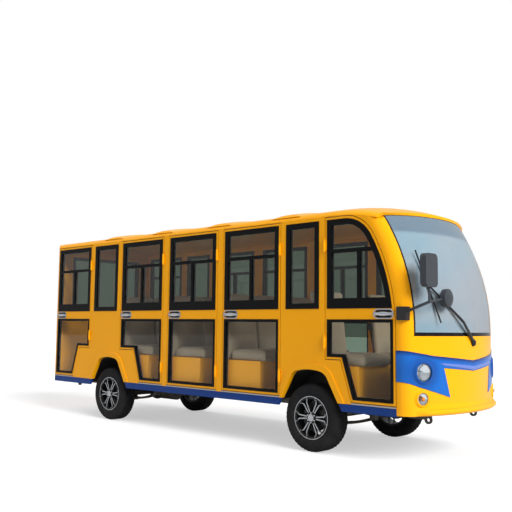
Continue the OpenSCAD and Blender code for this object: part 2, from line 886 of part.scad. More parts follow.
// Side-by-side places of one row, each as its y start and width
module places(n) {
    w = (2 * seat_hw - 2 * seat_gap_y) / 3;
    for (k = n == 2 ? [0, 2] : [0, 1, 2]) translate([0, -seat_hw + k * (w + seat_gap_y), 0]) children();
}

module seat_cushions() color("#8d8478") from_rear() for (row = rows) row_place(row) places(row[2])
    translate([back_t + 1, 0, seat_z]) cube([cushion_l, (2 * seat_hw - 2 * seat_gap_y) / 3, cushion_t]);

module seat_backs() color("#8d8478") from_rear() for (row = rows) row_place(row) places(row[2])
    translate([0, 0, seat_z]) rotate([90, 0, 0]) translate([0, 0, -(2 * seat_hw - 2 * seat_gap_y) / 3])
        linear_extrude((2 * seat_hw - 2 * seat_gap_y) / 3)
            polygon([[0, 0], [back_t, 0], [back_t, cushion_t], [back_t - back_lean, cushion_t + back_h],
                     [-back_lean + 20, cushion_t + back_h]]);

dash_z = 850;
dash_h = 170;
dash_l = 330;
dash_side = 8;

module dashboard() color(black) from_rear() {
    translate([nose_x, 0, dash_z]) linear_extrude(dash_h) intersection() {
        nose_plan(-wall_t - 1, dash_l);
        translate([-2 * dash_l, dash_side - inner_hw]) square([2 * dash_l, 2 * (inner_hw - dash_side)]);
    }
    translate([nose_x - wall_t - 200, -100, floor_z]) cube([100, 200, dash_z - floor_z]);
}

// Steering column: foot on the floor and head at the steering wheel
column_foot = [nose_seam - 93, 350, floor_z];
column_head = [nose_seam - 263, 350, 1120];
column_r = 22;
column_pin_r = 12;
column_v = column_head - column_foot;
column_len = norm(column_v);
column_tilt = -acos(column_v[2] / column_len);

module on_column() {
    translate(column_foot) rotate([0, column_tilt, 0]) children();
}

module steering_column() color(black) from_rear() {
    intersection() {
        on_column() {
            translate([0, 0, -60]) cylinder(h = column_len, r = column_r);
            cylinder(h = column_len + 30, r = column_pin_r);
        }
        translate([0, 0, floor_z]) cube([body_l, hw, roof_z]);
    }
}

module steering_wheel() color(black) from_rear() on_column() translate([0, 0, column_len]) {
    rotate_extrude() translate([wheel_rim_r - 14, 0]) circle(14);
    difference() {
        union() {
            translate([0, 0, -50]) cylinder(h = 90, r = 38);
            for (a = [0, 120, 240]) rotate([0, 0, a]) translate([0, -15, -6]) cube([wheel_rim_r - 16, 30, 12]);
        }
        translate([0, 0, -51]) cylinder(h = 86, r = column_pin_r + pin_play);
    }
}

// Rod between two points
module rod(p, q, r) {
    v = q - p;
    translate(p) rotate([0, acos(v[2] / norm(v)), atan2(v[1], v[0])]) cylinder(h = norm(v), r = r);
}

// Point on the front surface at y and z, moved out by d
function front_point(y, z, d) =
    let (rho = rake_r - nose_r + sqrt(nose_r * nose_r - y * y) + d)
    [rake_x + (z > rake_z ? sqrt(rho * rho - pow(z - rake_z, 2)) : rho), y, z];

mirror_x = nose_x - 20;
mirror_y = 70 - hw;
mirror_z = round(0.7516 * roof_z);
mirror_w = 2 * (hw + hinge_out + hinge_barrel_r + mirror_y);
mirror_h = 270;
mirror_t = 55;
mirror_corner = 45;
elbow = [mirror_x, mirror_y, round(0.6307 * roof_z)];
convex = [mirror_x + 10, -round(0.566 * hw), round(0.6484 * roof_z)];
convex_r = 76;

module mirror_outline() {
    w = mirror_w / 2 - mirror_corner;
    h = mirror_h / 2 - mirror_corner;
    square([2 * w, mirror_h], center = true);
    square([mirror_w, 2 * h], center = true);
    for (sx = [-1, 1], sy = [-1, 1]) translate([sx * w, sy * h]) circle(mirror_corner);
}

module mirror_arm() {
    base = [nose_seam + 60, -hw - 4, round(0.586 * roof_z)];
    difference() {
        translate([base[0] - 45, -hw - 20, base[2] - 55]) cube([90, 80, 110]);
        front_block(0, front_depth);
    }
    rod(base, elbow, 12);
    translate(elbow) sphere(14);
    rod(elbow, [mirror_x, mirror_y, mirror_z], 10);
    front_prism(mirror_x - mirror_t / 2, mirror_t) translate([mirror_y, mirror_z]) mirror_outline();
}

module mirrors() color(black) from_rear() {
    mirror_arm();
    rod(elbow, convex, 9);
    translate(convex - [20, 0, 0]) rotate([0, 90, 0]) cylinder(h = 40, r = convex_r);
}

wiper_z = screen_z - 55;
wiper_off = 34;
blade_low = front_point(-0.6184 * hw, 0.55156 * roof_z, wiper_off);
blade_high = front_point(-0.7763 * hw, 0.8393 * roof_z, wiper_off);

module wiper() color(black) from_rear() {
    wrist = (blade_low + blade_high) / 2 + [14, 0, 0];
    elbow_w = front_point(-0.263 * hw, 0.55635 * roof_z, wiper_off);
    translate([nose_x, 0, wiper_z]) rotate([0, 90, 0]) cylinder(h = 24, r = 22);
    rod([nose_x + 14, 0, wiper_z], elbow_w, 7);
    translate(elbow_w) sphere(10);
    rod(elbow_w, wrist, 6);
    rod(blade_low, blade_high, 9);
}

frame_x0 = 80;
frame_x1 = nose_seam + 40;
cross_x = [frame_x0 + 30, rear_axle_x - 392, rear_axle_x + 538, front_axle_x - 588, front_axle_x + 552,
    frame_x1 - 73];
outrigger_x = [rear_axle_x - 582, rear_axle_x + 578, (rear_axle_x + front_axle_x) / 2 - 95, front_axle_x - 648,
    front_axle_x + 552];
jack_x = [rear_axle_x + 718, front_axle_x - 708];

module chassis_frame() color(black) from_rear() {
    both_sides() {
        translate([frame_x0, -rail_hw, rail_z]) cube([frame_x1 - frame_x0, rail_w, rail_h]);
        for (x = outrigger_x) translate([x - 25, -inner_hw, rail_z + rail_h - 35])
            cube([50, inner_hw - rail_hw + 1, 35]);
        for (x = jack_x) translate([x, rail_w / 2 - rail_hw, rail_z - 8]) cylinder(h = 9, r = 24);
    }
    for (x = cross_x) translate([x - 30, -rail_hw + 1, rail_z + 5]) cube([60, 2 * rail_hw - 2, rail_h - 15]);
}

tow_t = 18;
tow_z = 346;
tow_x = [rear_post + 25, frame_x1 + 40];

module tow_lugs() color(black) from_rear() both_sides() for (x = tow_x) difference() {
    translate([0, -rail_hw, 0]) rotate([90, 0, 0]) linear_extrude(tow_t) {
        inner = x > body_l / 2 ? -190 : -20;
        translate([x + inner, tow_z]) square([220, rail_z + rail_h - tow_z - 5]);
        translate([x, tow_z]) circle(34);
    }
    translate([x, 0, tow_z]) rotate([90, 0, 0]) cylinder(h = hw, r = tow_hole_r);
}

battery_x = cross_x[2] + 360;
battery_l = cross_x[3] - 240 - battery_x;
battery_h = 100;
battery_side = 6;

module battery_pack() color("#55595e") from_rear() {
    half = rail_hw - rail_w - battery_side;
    translate([battery_x, -half, floor_z - floor_t - battery_h]) cube([battery_l, 2 * half, battery_h]);
}

spring_rise = 75;
spring_seat = 4;
clamp_over = 3;
pad_h = 50;
spring_r = (spring_hl * spring_hl + spring_rise * spring_rise) / (2 * spring_rise);

module leaf_springs() color(black) from_rear() both_sides() for (x = [rear_axle_x, front_axle_x]) {
    sweep = asin(spring_hl / spring_r);
    top = axle_z - pad_h;
    translate([x, -rail_hw, top - spring_seat + spring_r]) rotate([-90, 0, 0]) rotate([0, 0, 90 - sweep])
        rotate_extrude(angle = 2 * sweep, $fn = arc_fn) translate([spring_r, 0]) square([spring_t, rail_w]);
    translate([x - 45, -rail_hw - clamp_over, top - spring_t - 12])
        cube([90, rail_w + 2 * clamp_over, spring_t + 12]);
    hanger_z = top + spring_rise - spring_t - 8;
    for (s = [-1, 1]) translate([x + s * spring_hl - 22, -rail_hw - clamp_over, hanger_z])
        cube([44, rail_w + 2 * clamp_over, rail_z - hanger_z]);
}

module spring_pads(x) {
    both_sides() translate([x - 36, -rail_hw, axle_z - pad_h]) cube([72, rail_w, pad_h]);
}

boss_r = 30;
boss_h = 70;
yoke_gap = 2;
yoke_t = 15;

module front_axle() color(black) from_rear() {
    difference() {
        union() {
            translate([front_axle_x, 0, axle_z]) rotate([90, 0, 0])
                cylinder(h = 2 * (king_y - 18), r = axle_r - 8, center = true);
            spring_pads(front_axle_x);
            for (s = [-1, 1]) translate([front_axle_x, s * king_y, axle_z - boss_h / 2])
                cylinder(h = boss_h, r = boss_r);
        }
        for (s = [-1, 1]) translate([front_axle_x, s * king_y, 0])
            cylinder(h = 2 * axle_z, r = king_r + pin_play);
    }
}

hub_in = 3;
hub_gap = 6;
spindle_out = 50;
diff_r = 105;
motor_r = 92;
motor_l = 370;

module rear_axle() color(black) from_rear() {
    tube_l = track / 2 - hub_in - hub_gap;
    translate([rear_axle_x, 0, axle_z]) {
        rotate([90, 0, 0]) cylinder(h = 2 * tube_l, r = axle_r, center = true);
        rotate([90, 0, 0]) cylinder(h = track + 2 * spindle_out, r = spindle_r, center = true);
        sphere(diff_r);
        rotate([0, 90, 0]) cylinder(h = motor_l, r = motor_r);
    }
    spring_pads(rear_axle_x);
}

// Steering knuckle of the left wheel, about its king pin
yoke_in = boss_h / 2 + yoke_gap;
arm_pin_r = 8;
tie_z = 13;
tie_h = 22;

module knuckle() {
    face = track / 2 - hub_in - hub_gap - king_y;
    translate([0, 0, -yoke_in - yoke_t]) cylinder(h = 2 * (yoke_in + yoke_t), r = king_r);
    for (z = [yoke_in, -yoke_in - yoke_t]) translate([-25, -25, z]) cube([50, 25 + face, yoke_t]);
    translate([-30, face - 20, -yoke_in - yoke_t]) cube([60, 20, 2 * (yoke_in + yoke_t)]);
    rotate([-90, 0, 0]) translate([0, 0, face - 1])
        cylinder(h = track / 2 - king_y - face + spindle_out + 1, r = spindle_r);
    translate([-arm_l - 16, -14, yoke_in]) cube([arm_l + 16, 28, yoke_t]);
    translate([-arm_l, 0, tie_z - tie_h / 2]) cylinder(h = yoke_in - tie_z + tie_h / 2 + 1, r = arm_pin_r);
}

module knuckle_left() color(black) from_rear() translate([front_axle_x, king_y, axle_z]) knuckle();
module knuckle_right() color(black) from_rear() mirror([0, 1, 0])
    translate([front_axle_x, king_y, axle_z]) knuckle();

module tie_rod() color(black) from_rear() translate([front_axle_x - arm_l, 0, axle_z + tie_z]) difference() {
    union() {
        rotate([90, 0, 0]) cylinder(h = 2 * (king_y - 12), r = tie_rod_r, center = true);
        for (s = [-1, 1]) translate([0, s * king_y, 0]) cylinder(h = tie_h, r = 20, center = true);
    }
    for (s = [-1, 1]) translate([0, s * king_y, 0])
        cylinder(h = 2 * tie_h, r = arm_pin_r + pin_play, center = true);
}

// Wheel, its axis along y and its outer side toward +y
rim_r = rim_d / 2;
rim_hw = tyre_w / 2 - 14;
rim_t = 10;
flange_h = 12;
flange_b = 8;
hub_r = 52;
cap_r = 32;
cap_h = 9;
drum_r = 125;
drum_h = 34;
spoke_t = 22;
spoke_w = 10;
spoke_n = 6;
fork_r = 0.8 * rim_r;
fork_y = [3, 13, 37];
fork_end = sqrt(pow(rim_r - rim_t / 2, 2) - pow(fork_y[2] + spoke_w, 2));

// One half of a split spoke, from the hub to the rim
module half_spoke() {
    inner = [[hub_r - 8, fork_y[0]], [fork_r, fork_y[1]], [fork_end, fork_y[2]]];
    polygon([for (p = inner) p, for (k = [2:-1:0]) inner[k] + [0, spoke_w]]);
}

module rim() {
    rotate([-90, 0, 0]) {
        rotate_extrude($fn = arc_fn) {
            translate([rim_r - rim_t, -rim_hw - flange_b]) square([rim_t, 2 * (rim_hw + flange_b)]);
            for (y = [-rim_hw - flange_b, rim_hw]) translate([rim_r - 1, y]) square([flange_h + 1, flange_b]);
        }
        difference() {
            union() {
                translate([0, 0, -hub_in]) cylinder(h = hub_in + rim_hw, r = hub_r);
                translate([0, 0, -hub_in]) cylinder(h = drum_h, r = drum_r);
                translate([0, 0, rim_hw - 1]) cylinder(h = cap_h + 1, r = cap_r);
                translate([0, 0, rim_hw - spoke_t - 1]) linear_extrude(spoke_t)
                    for (k = [0:spoke_n - 1], s = [0, 1])
                        rotate(k * 360 / spoke_n) mirror([0, s]) half_spoke();
            }
            translate([0, 0, -hub_in - 1]) cylinder(h = spindle_out + hub_in + 5, r = spindle_r + pin_play);
        }
    }
}

shoulder = 26;

module tyre() {
    r = tyre_d / 2;
    half = tyre_w / 2;
    rotate([-90, 0, 0]) rotate_extrude($fn = arc_fn) {
        translate([rim_r, -rim_hw]) square([r - shoulder - rim_r, 2 * rim_hw]);
        translate([rim_r + 24, -half]) square([r - shoulder - rim_r - 24, 2 * half]);
        translate([r - shoulder - 1, shoulder - half]) square([shoulder + 1, 2 * (half - shoulder)]);
        for (s = [-1, 1]) translate([r - shoulder, s * (half - shoulder)]) circle(shoulder);
    }
}

// Puts a left wheel on its axle, and mirrors it for the right
module wheel_place(x, s) {
    from_rear() mirror([0, s < 0 ? 1 : 0, 0]) translate([x, track / 2, axle_z]) children();
}

module rim_front_left() color(steel) wheel_place(front_axle_x, 1) rim();
module rim_front_right() color(steel) wheel_place(front_axle_x, -1) rim();
module rim_rear_left() color(steel) wheel_place(rear_axle_x, 1) rim();
module rim_rear_right() color(steel) wheel_place(rear_axle_x, -1) rim();
module tyre_front_left() color(black) wheel_place(front_axle_x, 1) tyre();
module tyre_front_right() color(black) wheel_place(front_axle_x, -1) tyre();
module tyre_rear_left() color(black) wheel_place(rear_axle_x, 1) tyre();
module tyre_rear_right() color(black) wheel_place(rear_axle_x, -1) tyre();

module door_windows(i) {
    upper_unit(i);
    lower_unit(i);
}

module door_right_1() color(yellow) from_rear() door(4);
module door_right_2() color(yellow) from_rear() door(3);
module door_right_3() color(yellow) from_rear() door(2);
module door_right_4() color(yellow) from_rear() door(1);
module door_right_5() color(yellow) from_rear() door(0);
module door_left_1() color(yellow) from_rear() mirror([0, 1, 0]) door(4);
module windows_right_1() color(glass) from_rear() door_windows(4);
module windows_right_2() color(glass) from_rear() door_windows(3);
module windows_right_3() color(glass) from_rear() door_windows(2);
module windows_right_4() color(glass) from_rear() door_windows(1);
module windows_right_5() color(glass) from_rear() door_windows(0);
module windows_left_1() color(glass) from_rear() mirror([0, 1, 0]) door_windows(4);

chassis_frame();
floor_pan();
side_wall_right();
side_wall_left();
rear_wall();
roof();
roof_front();
front_shell();
front_band();
windscreen();
fixed_windows();
rear_window();
skirts();
wheel_liners();
head_lamps();
indicators();
tail_lamps();
mirrors();
wiper();
dashboard();
seat_bases();
seat_cushions();
seat_backs();
front_axle();
rear_axle();
leaf_springs();
battery_pack();
tow_lugs();
steering_column();
steering_wheel();
knuckle_left();
knuckle_right();
tie_rod();
rim_front_left();
rim_front_right();
rim_rear_left();
rim_rear_right();
tyre_front_left();
tyre_front_right();
tyre_rear_left();
tyre_rear_right();
door_right_1();
door_right_2();
door_right_3();
door_right_4();
door_right_5();
door_left_1();
windows_right_1();
windows_right_2();
windows_right_3();
windows_right_4();
windows_right_5();
windows_left_1();
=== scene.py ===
import math

import bmesh
import bpy
import numpy as np
from mathutils import Matrix, Vector


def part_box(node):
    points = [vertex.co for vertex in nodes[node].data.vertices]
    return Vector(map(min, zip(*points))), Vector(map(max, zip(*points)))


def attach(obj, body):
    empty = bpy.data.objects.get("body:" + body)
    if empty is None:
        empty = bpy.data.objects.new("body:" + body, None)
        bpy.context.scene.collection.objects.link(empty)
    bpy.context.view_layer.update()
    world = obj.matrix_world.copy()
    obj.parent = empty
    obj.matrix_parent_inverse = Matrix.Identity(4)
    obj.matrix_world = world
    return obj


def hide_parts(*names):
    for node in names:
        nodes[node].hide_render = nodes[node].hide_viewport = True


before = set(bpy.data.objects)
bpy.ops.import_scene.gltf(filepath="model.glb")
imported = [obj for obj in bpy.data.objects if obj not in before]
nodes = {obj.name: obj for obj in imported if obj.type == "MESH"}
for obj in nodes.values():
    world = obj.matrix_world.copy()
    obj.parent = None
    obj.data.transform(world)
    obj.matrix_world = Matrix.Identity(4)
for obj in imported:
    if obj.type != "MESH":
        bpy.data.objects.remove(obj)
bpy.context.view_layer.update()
scene = bpy.context.scene
print("frame loaded:", len(nodes), "nodes")


def linear(r, g, b):  # screen values 0-255 to linear light
    def one(v):
        v /= 255
        return v / 12.92 if v <= 0.04045 else ((v + 0.055) / 1.055) ** 2.4
    return (one(r), one(g), one(b), 1.0)


# effects shared by the materials

def feed(sock, value):  # a plain value is set, an output is linked
    if isinstance(value, (int, float, tuple)):
        sock.default_value = value
    else:
        sock.id_data.links.new(value, sock)


def setInputs(made, values):
    for label, value in values.items():
        feed(made.inputs[label], value)


def node(tree, kind, *inputs, **settings):  # inputs are fed in order
    made = tree.nodes.new(kind)
    for key, value in settings.items():
        setattr(made, key, value)
    for sock, value in zip(made.inputs, inputs):
        feed(sock, value)
    return made


def newGroup(name, ins, outs):  # a tuple is a colour, a number is a value
    tree = bpy.data.node_groups.new(name, "ShaderNodeTree")
    for way, items in (("INPUT", ins), ("OUTPUT", outs)):
        for label, value in items.items():
            kind = "NodeSocketColor" if isinstance(value, tuple) else "NodeSocketFloat"
            tree.interface.new_socket(label, in_out=way, socket_type=kind).default_value = value
    return tree, node(tree, "NodeGroupInput").outputs, node(tree, "NodeGroupOutput")


def mathNode(tree, operation, *values, clamp=False):
    return node(tree, "ShaderNodeMath", *values, operation=operation, use_clamp=clamp).outputs[0]


def mixColour(tree, factor, a, b):
    made = node(tree, "ShaderNodeMix", data_type="RGBA", clamp_factor=True)
    for index, value in ((0, factor), (6, a), (7, b)):
        feed(made.inputs[index], value)
    return made.outputs[2]


def ramp(tree, value, low, high):
    made = node(tree, "ShaderNodeMapRange", clamp=True)
    setInputs(made, {"Value": value, "From Min": low, "From Max": high})
    return made.outputs[0]


def axesOf(tree, kind):  # the shaded point, split into its axes
    return node(tree, "ShaderNodeSeparateXYZ", node(tree, "ShaderNodeTexCoord").outputs[kind]).outputs


def noise(tree, scale, detail):
    made = node(tree, "ShaderNodeTexNoise")
    setInputs(made, {"Vector": node(tree, "ShaderNodeTexCoord").outputs["Object"], "Scale": scale, "Detail": detail})
    return made.outputs["Fac"]


def softEdge(tree, radius):
    return node(tree, "ShaderNodeBevel", radius, samples=4).outputs[0]


grey = (0.5, 0.5, 0.5, 1)
mottleLook = {"Color": grey, "Scale": 4.0, "Amount": 0.1, "Roughness": 0.3, "Rough Change": 0.1}
mottleDetail = 4.0


def makeMottle():  # slow change of tone with matching roughness
    tree, start, end = newGroup("surfaceMottle", mottleLook, {"Color": grey, "Roughness": 0.3})
    centred = mathNode(tree, "SUBTRACT", noise(tree, start["Scale"], mottleDetail), 0.5)
    made = node(tree, "ShaderNodeVectorMath", start["Color"], operation="SCALE")
    feed(made.inputs["Scale"], mathNode(tree, "MULTIPLY_ADD", centred, start["Amount"], 1.0))
    rough = mathNode(tree, "MULTIPLY_ADD", centred, start["Rough Change"], start["Roughness"])
    setInputs(end, {"Color": made.outputs[0], "Roughness": rough})
    return tree


dustLook = {"Color": grey, "Dust Color": linear(150, 138, 120), "Top": 0.7, "Amount": 0.25}
dustSpots = {"rate": 1.6, "scale": 9.0, "detail": 5.0, "bare": 0.3, "full": 0.75}


def makeDust():  # road dust that settles on the lower part of the bus
    tree, start, end = newGroup("roadDust", dustLook, {"Color": grey})
    fall = mathNode(tree, "SUBTRACT", start["Top"], axesOf(tree, "Object")["Z"], clamp=True)
    fall = mathNode(tree, "MULTIPLY", fall, dustSpots["rate"], clamp=True)
    patch = ramp(tree, noise(tree, dustSpots["scale"], dustSpots["detail"]), dustSpots["bare"], dustSpots["full"])
    mask = mathNode(tree, "MULTIPLY", mathNode(tree, "MULTIPLY", fall, patch), start["Amount"], clamp=True)
    feed(end.inputs["Color"], mixColour(tree, mask, start["Color"], start["Dust Color"]))
    return tree


grainDetail = 2.0


def makeGrain():  # fine moulded or sprayed grain as a height
    tree, start, end = newGroup("fineGrain", {"Scale": 400.0, "Depth": 1.0}, {"Height": 0.0})
    feed(end.inputs["Height"], mathNode(tree, "MULTIPLY", noise(tree, start["Scale"], grainDetail), start["Depth"]))
    return tree


rubLook = {"Color": grey, "Rub Color": (0.7, 0.7, 0.7, 1), "Amount": 0.3}
rubSpots = {"radius": 0.004, "gain": 3.0, "scale": 60.0, "detail": 4.0, "bare": 0.35, "full": 0.7}


def makeRub():  # paler rubbed tone along edges
    tree, start, end = newGroup("edgeRub", rubLook, {"Color": grey})
    flat = node(tree, "ShaderNodeNewGeometry").outputs["Normal"]
    soft = softEdge(tree, rubSpots["radius"])
    dot = node(tree, "ShaderNodeVectorMath", soft, flat, operation="DOT_PRODUCT").outputs["Value"]
    edge = mathNode(tree, "SUBTRACT", 1.0, dot, clamp=True)
    edge = mathNode(tree, "MULTIPLY", edge, rubSpots["gain"], clamp=True)
    speck = ramp(tree, noise(tree, rubSpots["scale"], rubSpots["detail"]), rubSpots["bare"], rubSpots["full"])
    mask = mathNode(tree, "MULTIPLY", mathNode(tree, "MULTIPLY", edge, speck), start["Amount"], clamp=True)
    feed(end.inputs["Color"], mixColour(tree, mask, start["Color"], start["Rub Color"]))
    return tree


mottleGroup, dustGroup, grainGroup, rubGroup = makeMottle(), makeDust(), makeGrain(), makeRub()


def useGroup(tree, group, **values):
    made = node(tree, "ShaderNodeGroup", node_tree=group)
    setInputs(made, {label.replace("_", " "): value for label, value in values.items()})
    return made.outputs


def newMaterial(name):
    material = bpy.data.materials.new(name)
    material.use_nodes = True
    tree = material.node_tree
    tree.nodes.clear()
    shader = node(tree, "ShaderNodeBsdfPrincipled")
    return material, tree, shader, node(tree, "ShaderNodeOutputMaterial", shader.outputs[0]).inputs["Surface"]


grainStep = 0.001


def finish(name, colour, rough=0.4, metal=0.0, coat=0.0, coatRough=0.05, specular=0.5, mottle=0.12, mottleScale=3.0,
           roughChange=0.1, dust=0.0, dustTop=0.7, rub=0.0, rubColour=None, grain=0.0, grainScale=500.0,
           bevel=0.0, sheen=0.0):  # colours as screen values
    material, tree, shader = newMaterial(name)[:3]
    base = useGroup(tree, mottleGroup, Color=linear(*colour), Scale=mottleScale, Amount=mottle, Roughness=rough,
                    Rough_Change=roughChange)
    tone = base["Color"]
    if rub:
        tone = useGroup(tree, rubGroup, Color=tone, Rub_Color=linear(*(rubColour or colour)), Amount=rub)["Color"]
    if dust:
        tone = useGroup(tree, dustGroup, Color=tone, Top=dustTop, Amount=dust)["Color"]
    setInputs(shader, {"Base Color": tone, "Roughness": base["Roughness"], "Metallic": metal, "Coat Weight": coat,
                       "Coat Roughness": coatRough, "Specular IOR Level": specular, "Sheen Weight": sheen})
    normal = shader.inputs["Normal"]
    if grain:
        bump = node(tree, "ShaderNodeBump")
        height = useGroup(tree, grainGroup, Scale=grainScale, Depth=1.0)["Height"]
        setInputs(bump, {"Strength": grain, "Distance": grainStep, "Height": height})
        feed(normal, bump.outputs[0])
        normal = bump.inputs["Normal"]
    if bevel:
        feed(normal, softEdge(tree, bevel))
    return material


def glassFinish(name, tint, bend=1.45, shadowTint=(0.9, 0.93, 0.94, 1)):  # its shadow is a plain tint
    material, tree, shader, surface = newMaterial(name)
    setInputs(shader, {"Base Color": linear(*tint), "Roughness": 0.0, "IOR": bend, "Transmission Weight": 1.0})
    clear = node(tree, "ShaderNodeBsdfTransparent", shadowTint).outputs[0]
    shadow = node(tree, "ShaderNodeLightPath").outputs["Is Shadow Ray"]
    feed(surface, node(tree, "ShaderNodeMixShader", shadow, shader.outputs[0], clear).outputs[0])
    return material, tree, shader


sprayed = dict(grain=0.03, grainScale=220.0, bevel=0.003)
paints = {
    "yellow": dict(colour=(244, 166, 6), rough=0.3, coat=0.08, specular=0.16, mottle=0.06, dust=0.06, dustTop=0.75,
                   **sprayed),
    # this blue gets painted shade mixed in further down, under the band's top edge and round the headlamps
    "bandBlue": dict(colour=(16, 94, 180), rough=0.25, coat=0.25, specular=0.2, mottle=0.08, dust=0.05,
                     dustTop=0.6, **sprayed),
    "skirtBlue": dict(colour=(5, 53, 124), rough=0.3, coat=0.1, specular=0.15, mottle=0.08, dust=0.08,
                      dustTop=0.6, **sprayed),
    "chassisBlack": dict(colour=(30, 31, 33), rough=0.55, mottle=0.4, dust=0.6, dustTop=0.9, rub=0.35,
                         rubColour=(95, 92, 88), grain=0.25, grainScale=300.0),
    "battery": dict(colour=(84, 88, 92), rough=0.5, mottle=0.2, dust=0.5, dustTop=0.8, rub=0.3,
                    rubColour=(150, 150, 150), grain=0.15, grainScale=260.0),
    "blackPlastic": dict(colour=(26, 27, 29), rough=0.5, mottle=0.15, grain=0.25, grainScale=700.0, bevel=0.002),
    "greyPlastic": dict(colour=(56, 60, 65), rough=0.45, specular=0.35, mottle=0.12, grain=0.2,
                        grainScale=700.0, bevel=0.003),
    "frameBlack": dict(colour=(10, 11, 13), rough=0.42, specular=0.12, mottle=0.15, grain=0.08,
                       grainScale=500.0, bevel=0.002),
    "floorMat": dict(colour=(92, 92, 92), rough=0.7, mottle=0.25, mottleScale=8.0, grain=0.5, grainScale=240.0),
    "tyreRubber": dict(colour=(27, 28, 31), rough=0.8, mottle=0.3, mottleScale=14.0, dust=0.06, dustTop=0.75,
                       grain=0.3, grainScale=420.0, specular=0.16),
    "alloyDark": dict(colour=(20, 21, 23), rough=0.35, coat=0.15, specular=0.3, mottle=0.12, dust=0.06,
                      dustTop=0.7, bevel=0.002),
    "alloyBright": dict(colour=(196, 200, 204), rough=0.24, metal=1.0, mottle=0.1, mottleScale=20.0, dust=0.2,
                        dustTop=0.7, bevel=0.001),
    "paleBlue": dict(colour=(92, 118, 190), rough=0.3, coat=0.2, mottle=0.06, bevel=0.002),
    "chrome": dict(colour=(222, 226, 230), rough=0.09, metal=1.0, mottle=0.05, bevel=0.002),
    "handleMetal": dict(colour=(204, 209, 215), rough=0.16, metal=1.0, mottle=0.06, bevel=0.002),
    "steelStrip": dict(colour=(190, 190, 186), rough=0.3, metal=1.0, mottle=0.15, mottleScale=12.0, dust=0.2,
                       dustTop=0.8),
    "vinylSeat": dict(colour=(142, 127, 106), rough=0.42, mottle=0.14, mottleScale=6.0, grain=0.3,
                      grainScale=650.0, sheen=0.1),
    "amberLens": dict(colour=(226, 128, 30), rough=0.15, coat=0.6, mottle=0.1, grain=0.2, grainScale=160.0),
    "redLens": dict(colour=(168, 22, 20), rough=0.15, coat=0.6, mottle=0.1, grain=0.2, grainScale=160.0),
    "reflector": dict(colour=(238, 241, 244), rough=0.2, metal=1.0, mottle=0.25, mottleScale=90.0,
                      roughChange=0.15, grain=0.6, grainScale=120.0),
    "lampWhite": dict(colour=(222, 226, 230), rough=0.15, coat=0.5, mottle=0.08, grain=0.2, grainScale=160.0),
    "mirrorFace": dict(colour=(205, 210, 214), rough=0.03, metal=1.0, mottle=0.03),
}
mats = {name: finish(name, **values) for name, values in paints.items()}
paneShadow = (0.98, 0.99, 0.98, 1)
glasses = {
    "sideGlass": dict(tint=(236, 240, 237), shadowTint=paneShadow),
    "darkGlass": dict(tint=(100, 119, 103), shadowTint=paneShadow),
    "lowGlass": dict(tint=(240, 243, 241), bend=1.25, shadowTint=paneShadow),
    "lampLens": dict(tint=(240, 243, 245)),
}
mats.update({name: glassFinish(name, **values)[0] for name, values in glasses.items()})

# pale and warm are painted reflection tones on the glass as well as its tint; tint is the darker top band
screen = {"tintTop": 1.93, "tintSoft": 0.03, "side": 0.670, "low": 1.072, "soft": 0.004, "clear": 0.62,
          "pale": (164, 192, 206), "warm": (184, 192, 200), "tint": (134, 157, 174), "border": (16, 17, 19),
          "reflectionDetail": 1.0, "reflectionScale": 1.3, "reflectionLow": 0.35, "reflectionHigh": 0.65}


def screenFinish():  # pale screen: its pale tone is the glass's tint and also, where it does not transmit, a painted reflection, with noise blotches of painted reflection, a darker band at the top and a black printed edge
    material, tree, shader = glassFinish("screenGlass", screen["pale"])
    pale, warm, tint, border = (linear(*screen[key]) for key in ("pale", "warm", "tint", "border"))
    axes, soft = axesOf(tree, "Object"), screen["soft"]
    # blotches of painted reflection: noise mixes the pale and warm tones
    reflectionNoise = noise(tree, screen["reflectionScale"], screen["reflectionDetail"])
    base = mixColour(tree, ramp(tree, reflectionNoise, screen["reflectionLow"], screen["reflectionHigh"]), pale, warm)
    shade = ramp(tree, axes["Z"], screen["tintTop"] - screen["tintSoft"], screen["tintTop"])
    base = mixColour(tree, shade, base, tint)
    side = ramp(tree, mathNode(tree, "ABSOLUTE", axes["Y"]), screen["side"], screen["side"] + soft)
    edge = mathNode(tree, "MAXIMUM", side, ramp(tree, axes["Z"], screen["low"], screen["low"] - soft))
    # the share that does not transmit is diffuse, so the pale tone shows as painted reflection over the glass's real
    # tint
    setInputs(shader, {"Transmission Weight": screen["clear"], "Base Color": mixColour(tree, edge, base, border)})
    return material


mats["screenGlass"] = screenFinish()
print("materials made:", len(mats))


# CAD nodes: materials and smooth shading

def wear(name, *materialNames):
    data = nodes[name].data
    data.materials.clear()
    for item in materialNames:
        data.materials.append(mats[item])
    return data


def faceFacts(data):
    count = len(data.polygons)
    centres = np.empty(count * 3)
    normals = np.empty(count * 3)
    data.polygons.foreach_get("center", centres)
    data.polygons.foreach_get("normal", normals)
    return centres.reshape(-1, 3), normals.reshape(-1, 3)


def midOf(name):
    lo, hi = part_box(name)
    return (lo + hi) / 2


def assign(data, indices):
    data.polygons.foreach_set("material_index", np.asarray(indices, np.int32))
    data.update()


plain = {
    "chassisBlack": ["chassis_frame", "front_axle", "rear_axle", "leaf_springs", "tow_lugs", "knuckle_left",
                     "knuckle_right", "tie_rod"],
    "floorMat": ["floor_pan"],
    "battery": ["battery_pack"],
    "yellow": ["side_wall_right", "side_wall_left", "rear_wall", "roof", "roof_front", "front_shell", "seat_bases"],
    "bandBlue": ["front_band"],
    "skirtBlue": ["skirts"],
    "blackPlastic": ["wheel_liners", "wiper", "steering_column", "steering_wheel"],
    "greyPlastic": ["dashboard"],
    "screenGlass": ["windscreen"],
    "lampLens": ["head_lamps"],
    "amberLens": ["indicators"],
    "vinylSeat": ["seat_cushions", "seat_backs"],
    "tyreRubber": [n for n in nodes if n.startswith("tyre_")],
}
for finishName, names in plain.items():
    for name in names:
        wear(name, finishName)

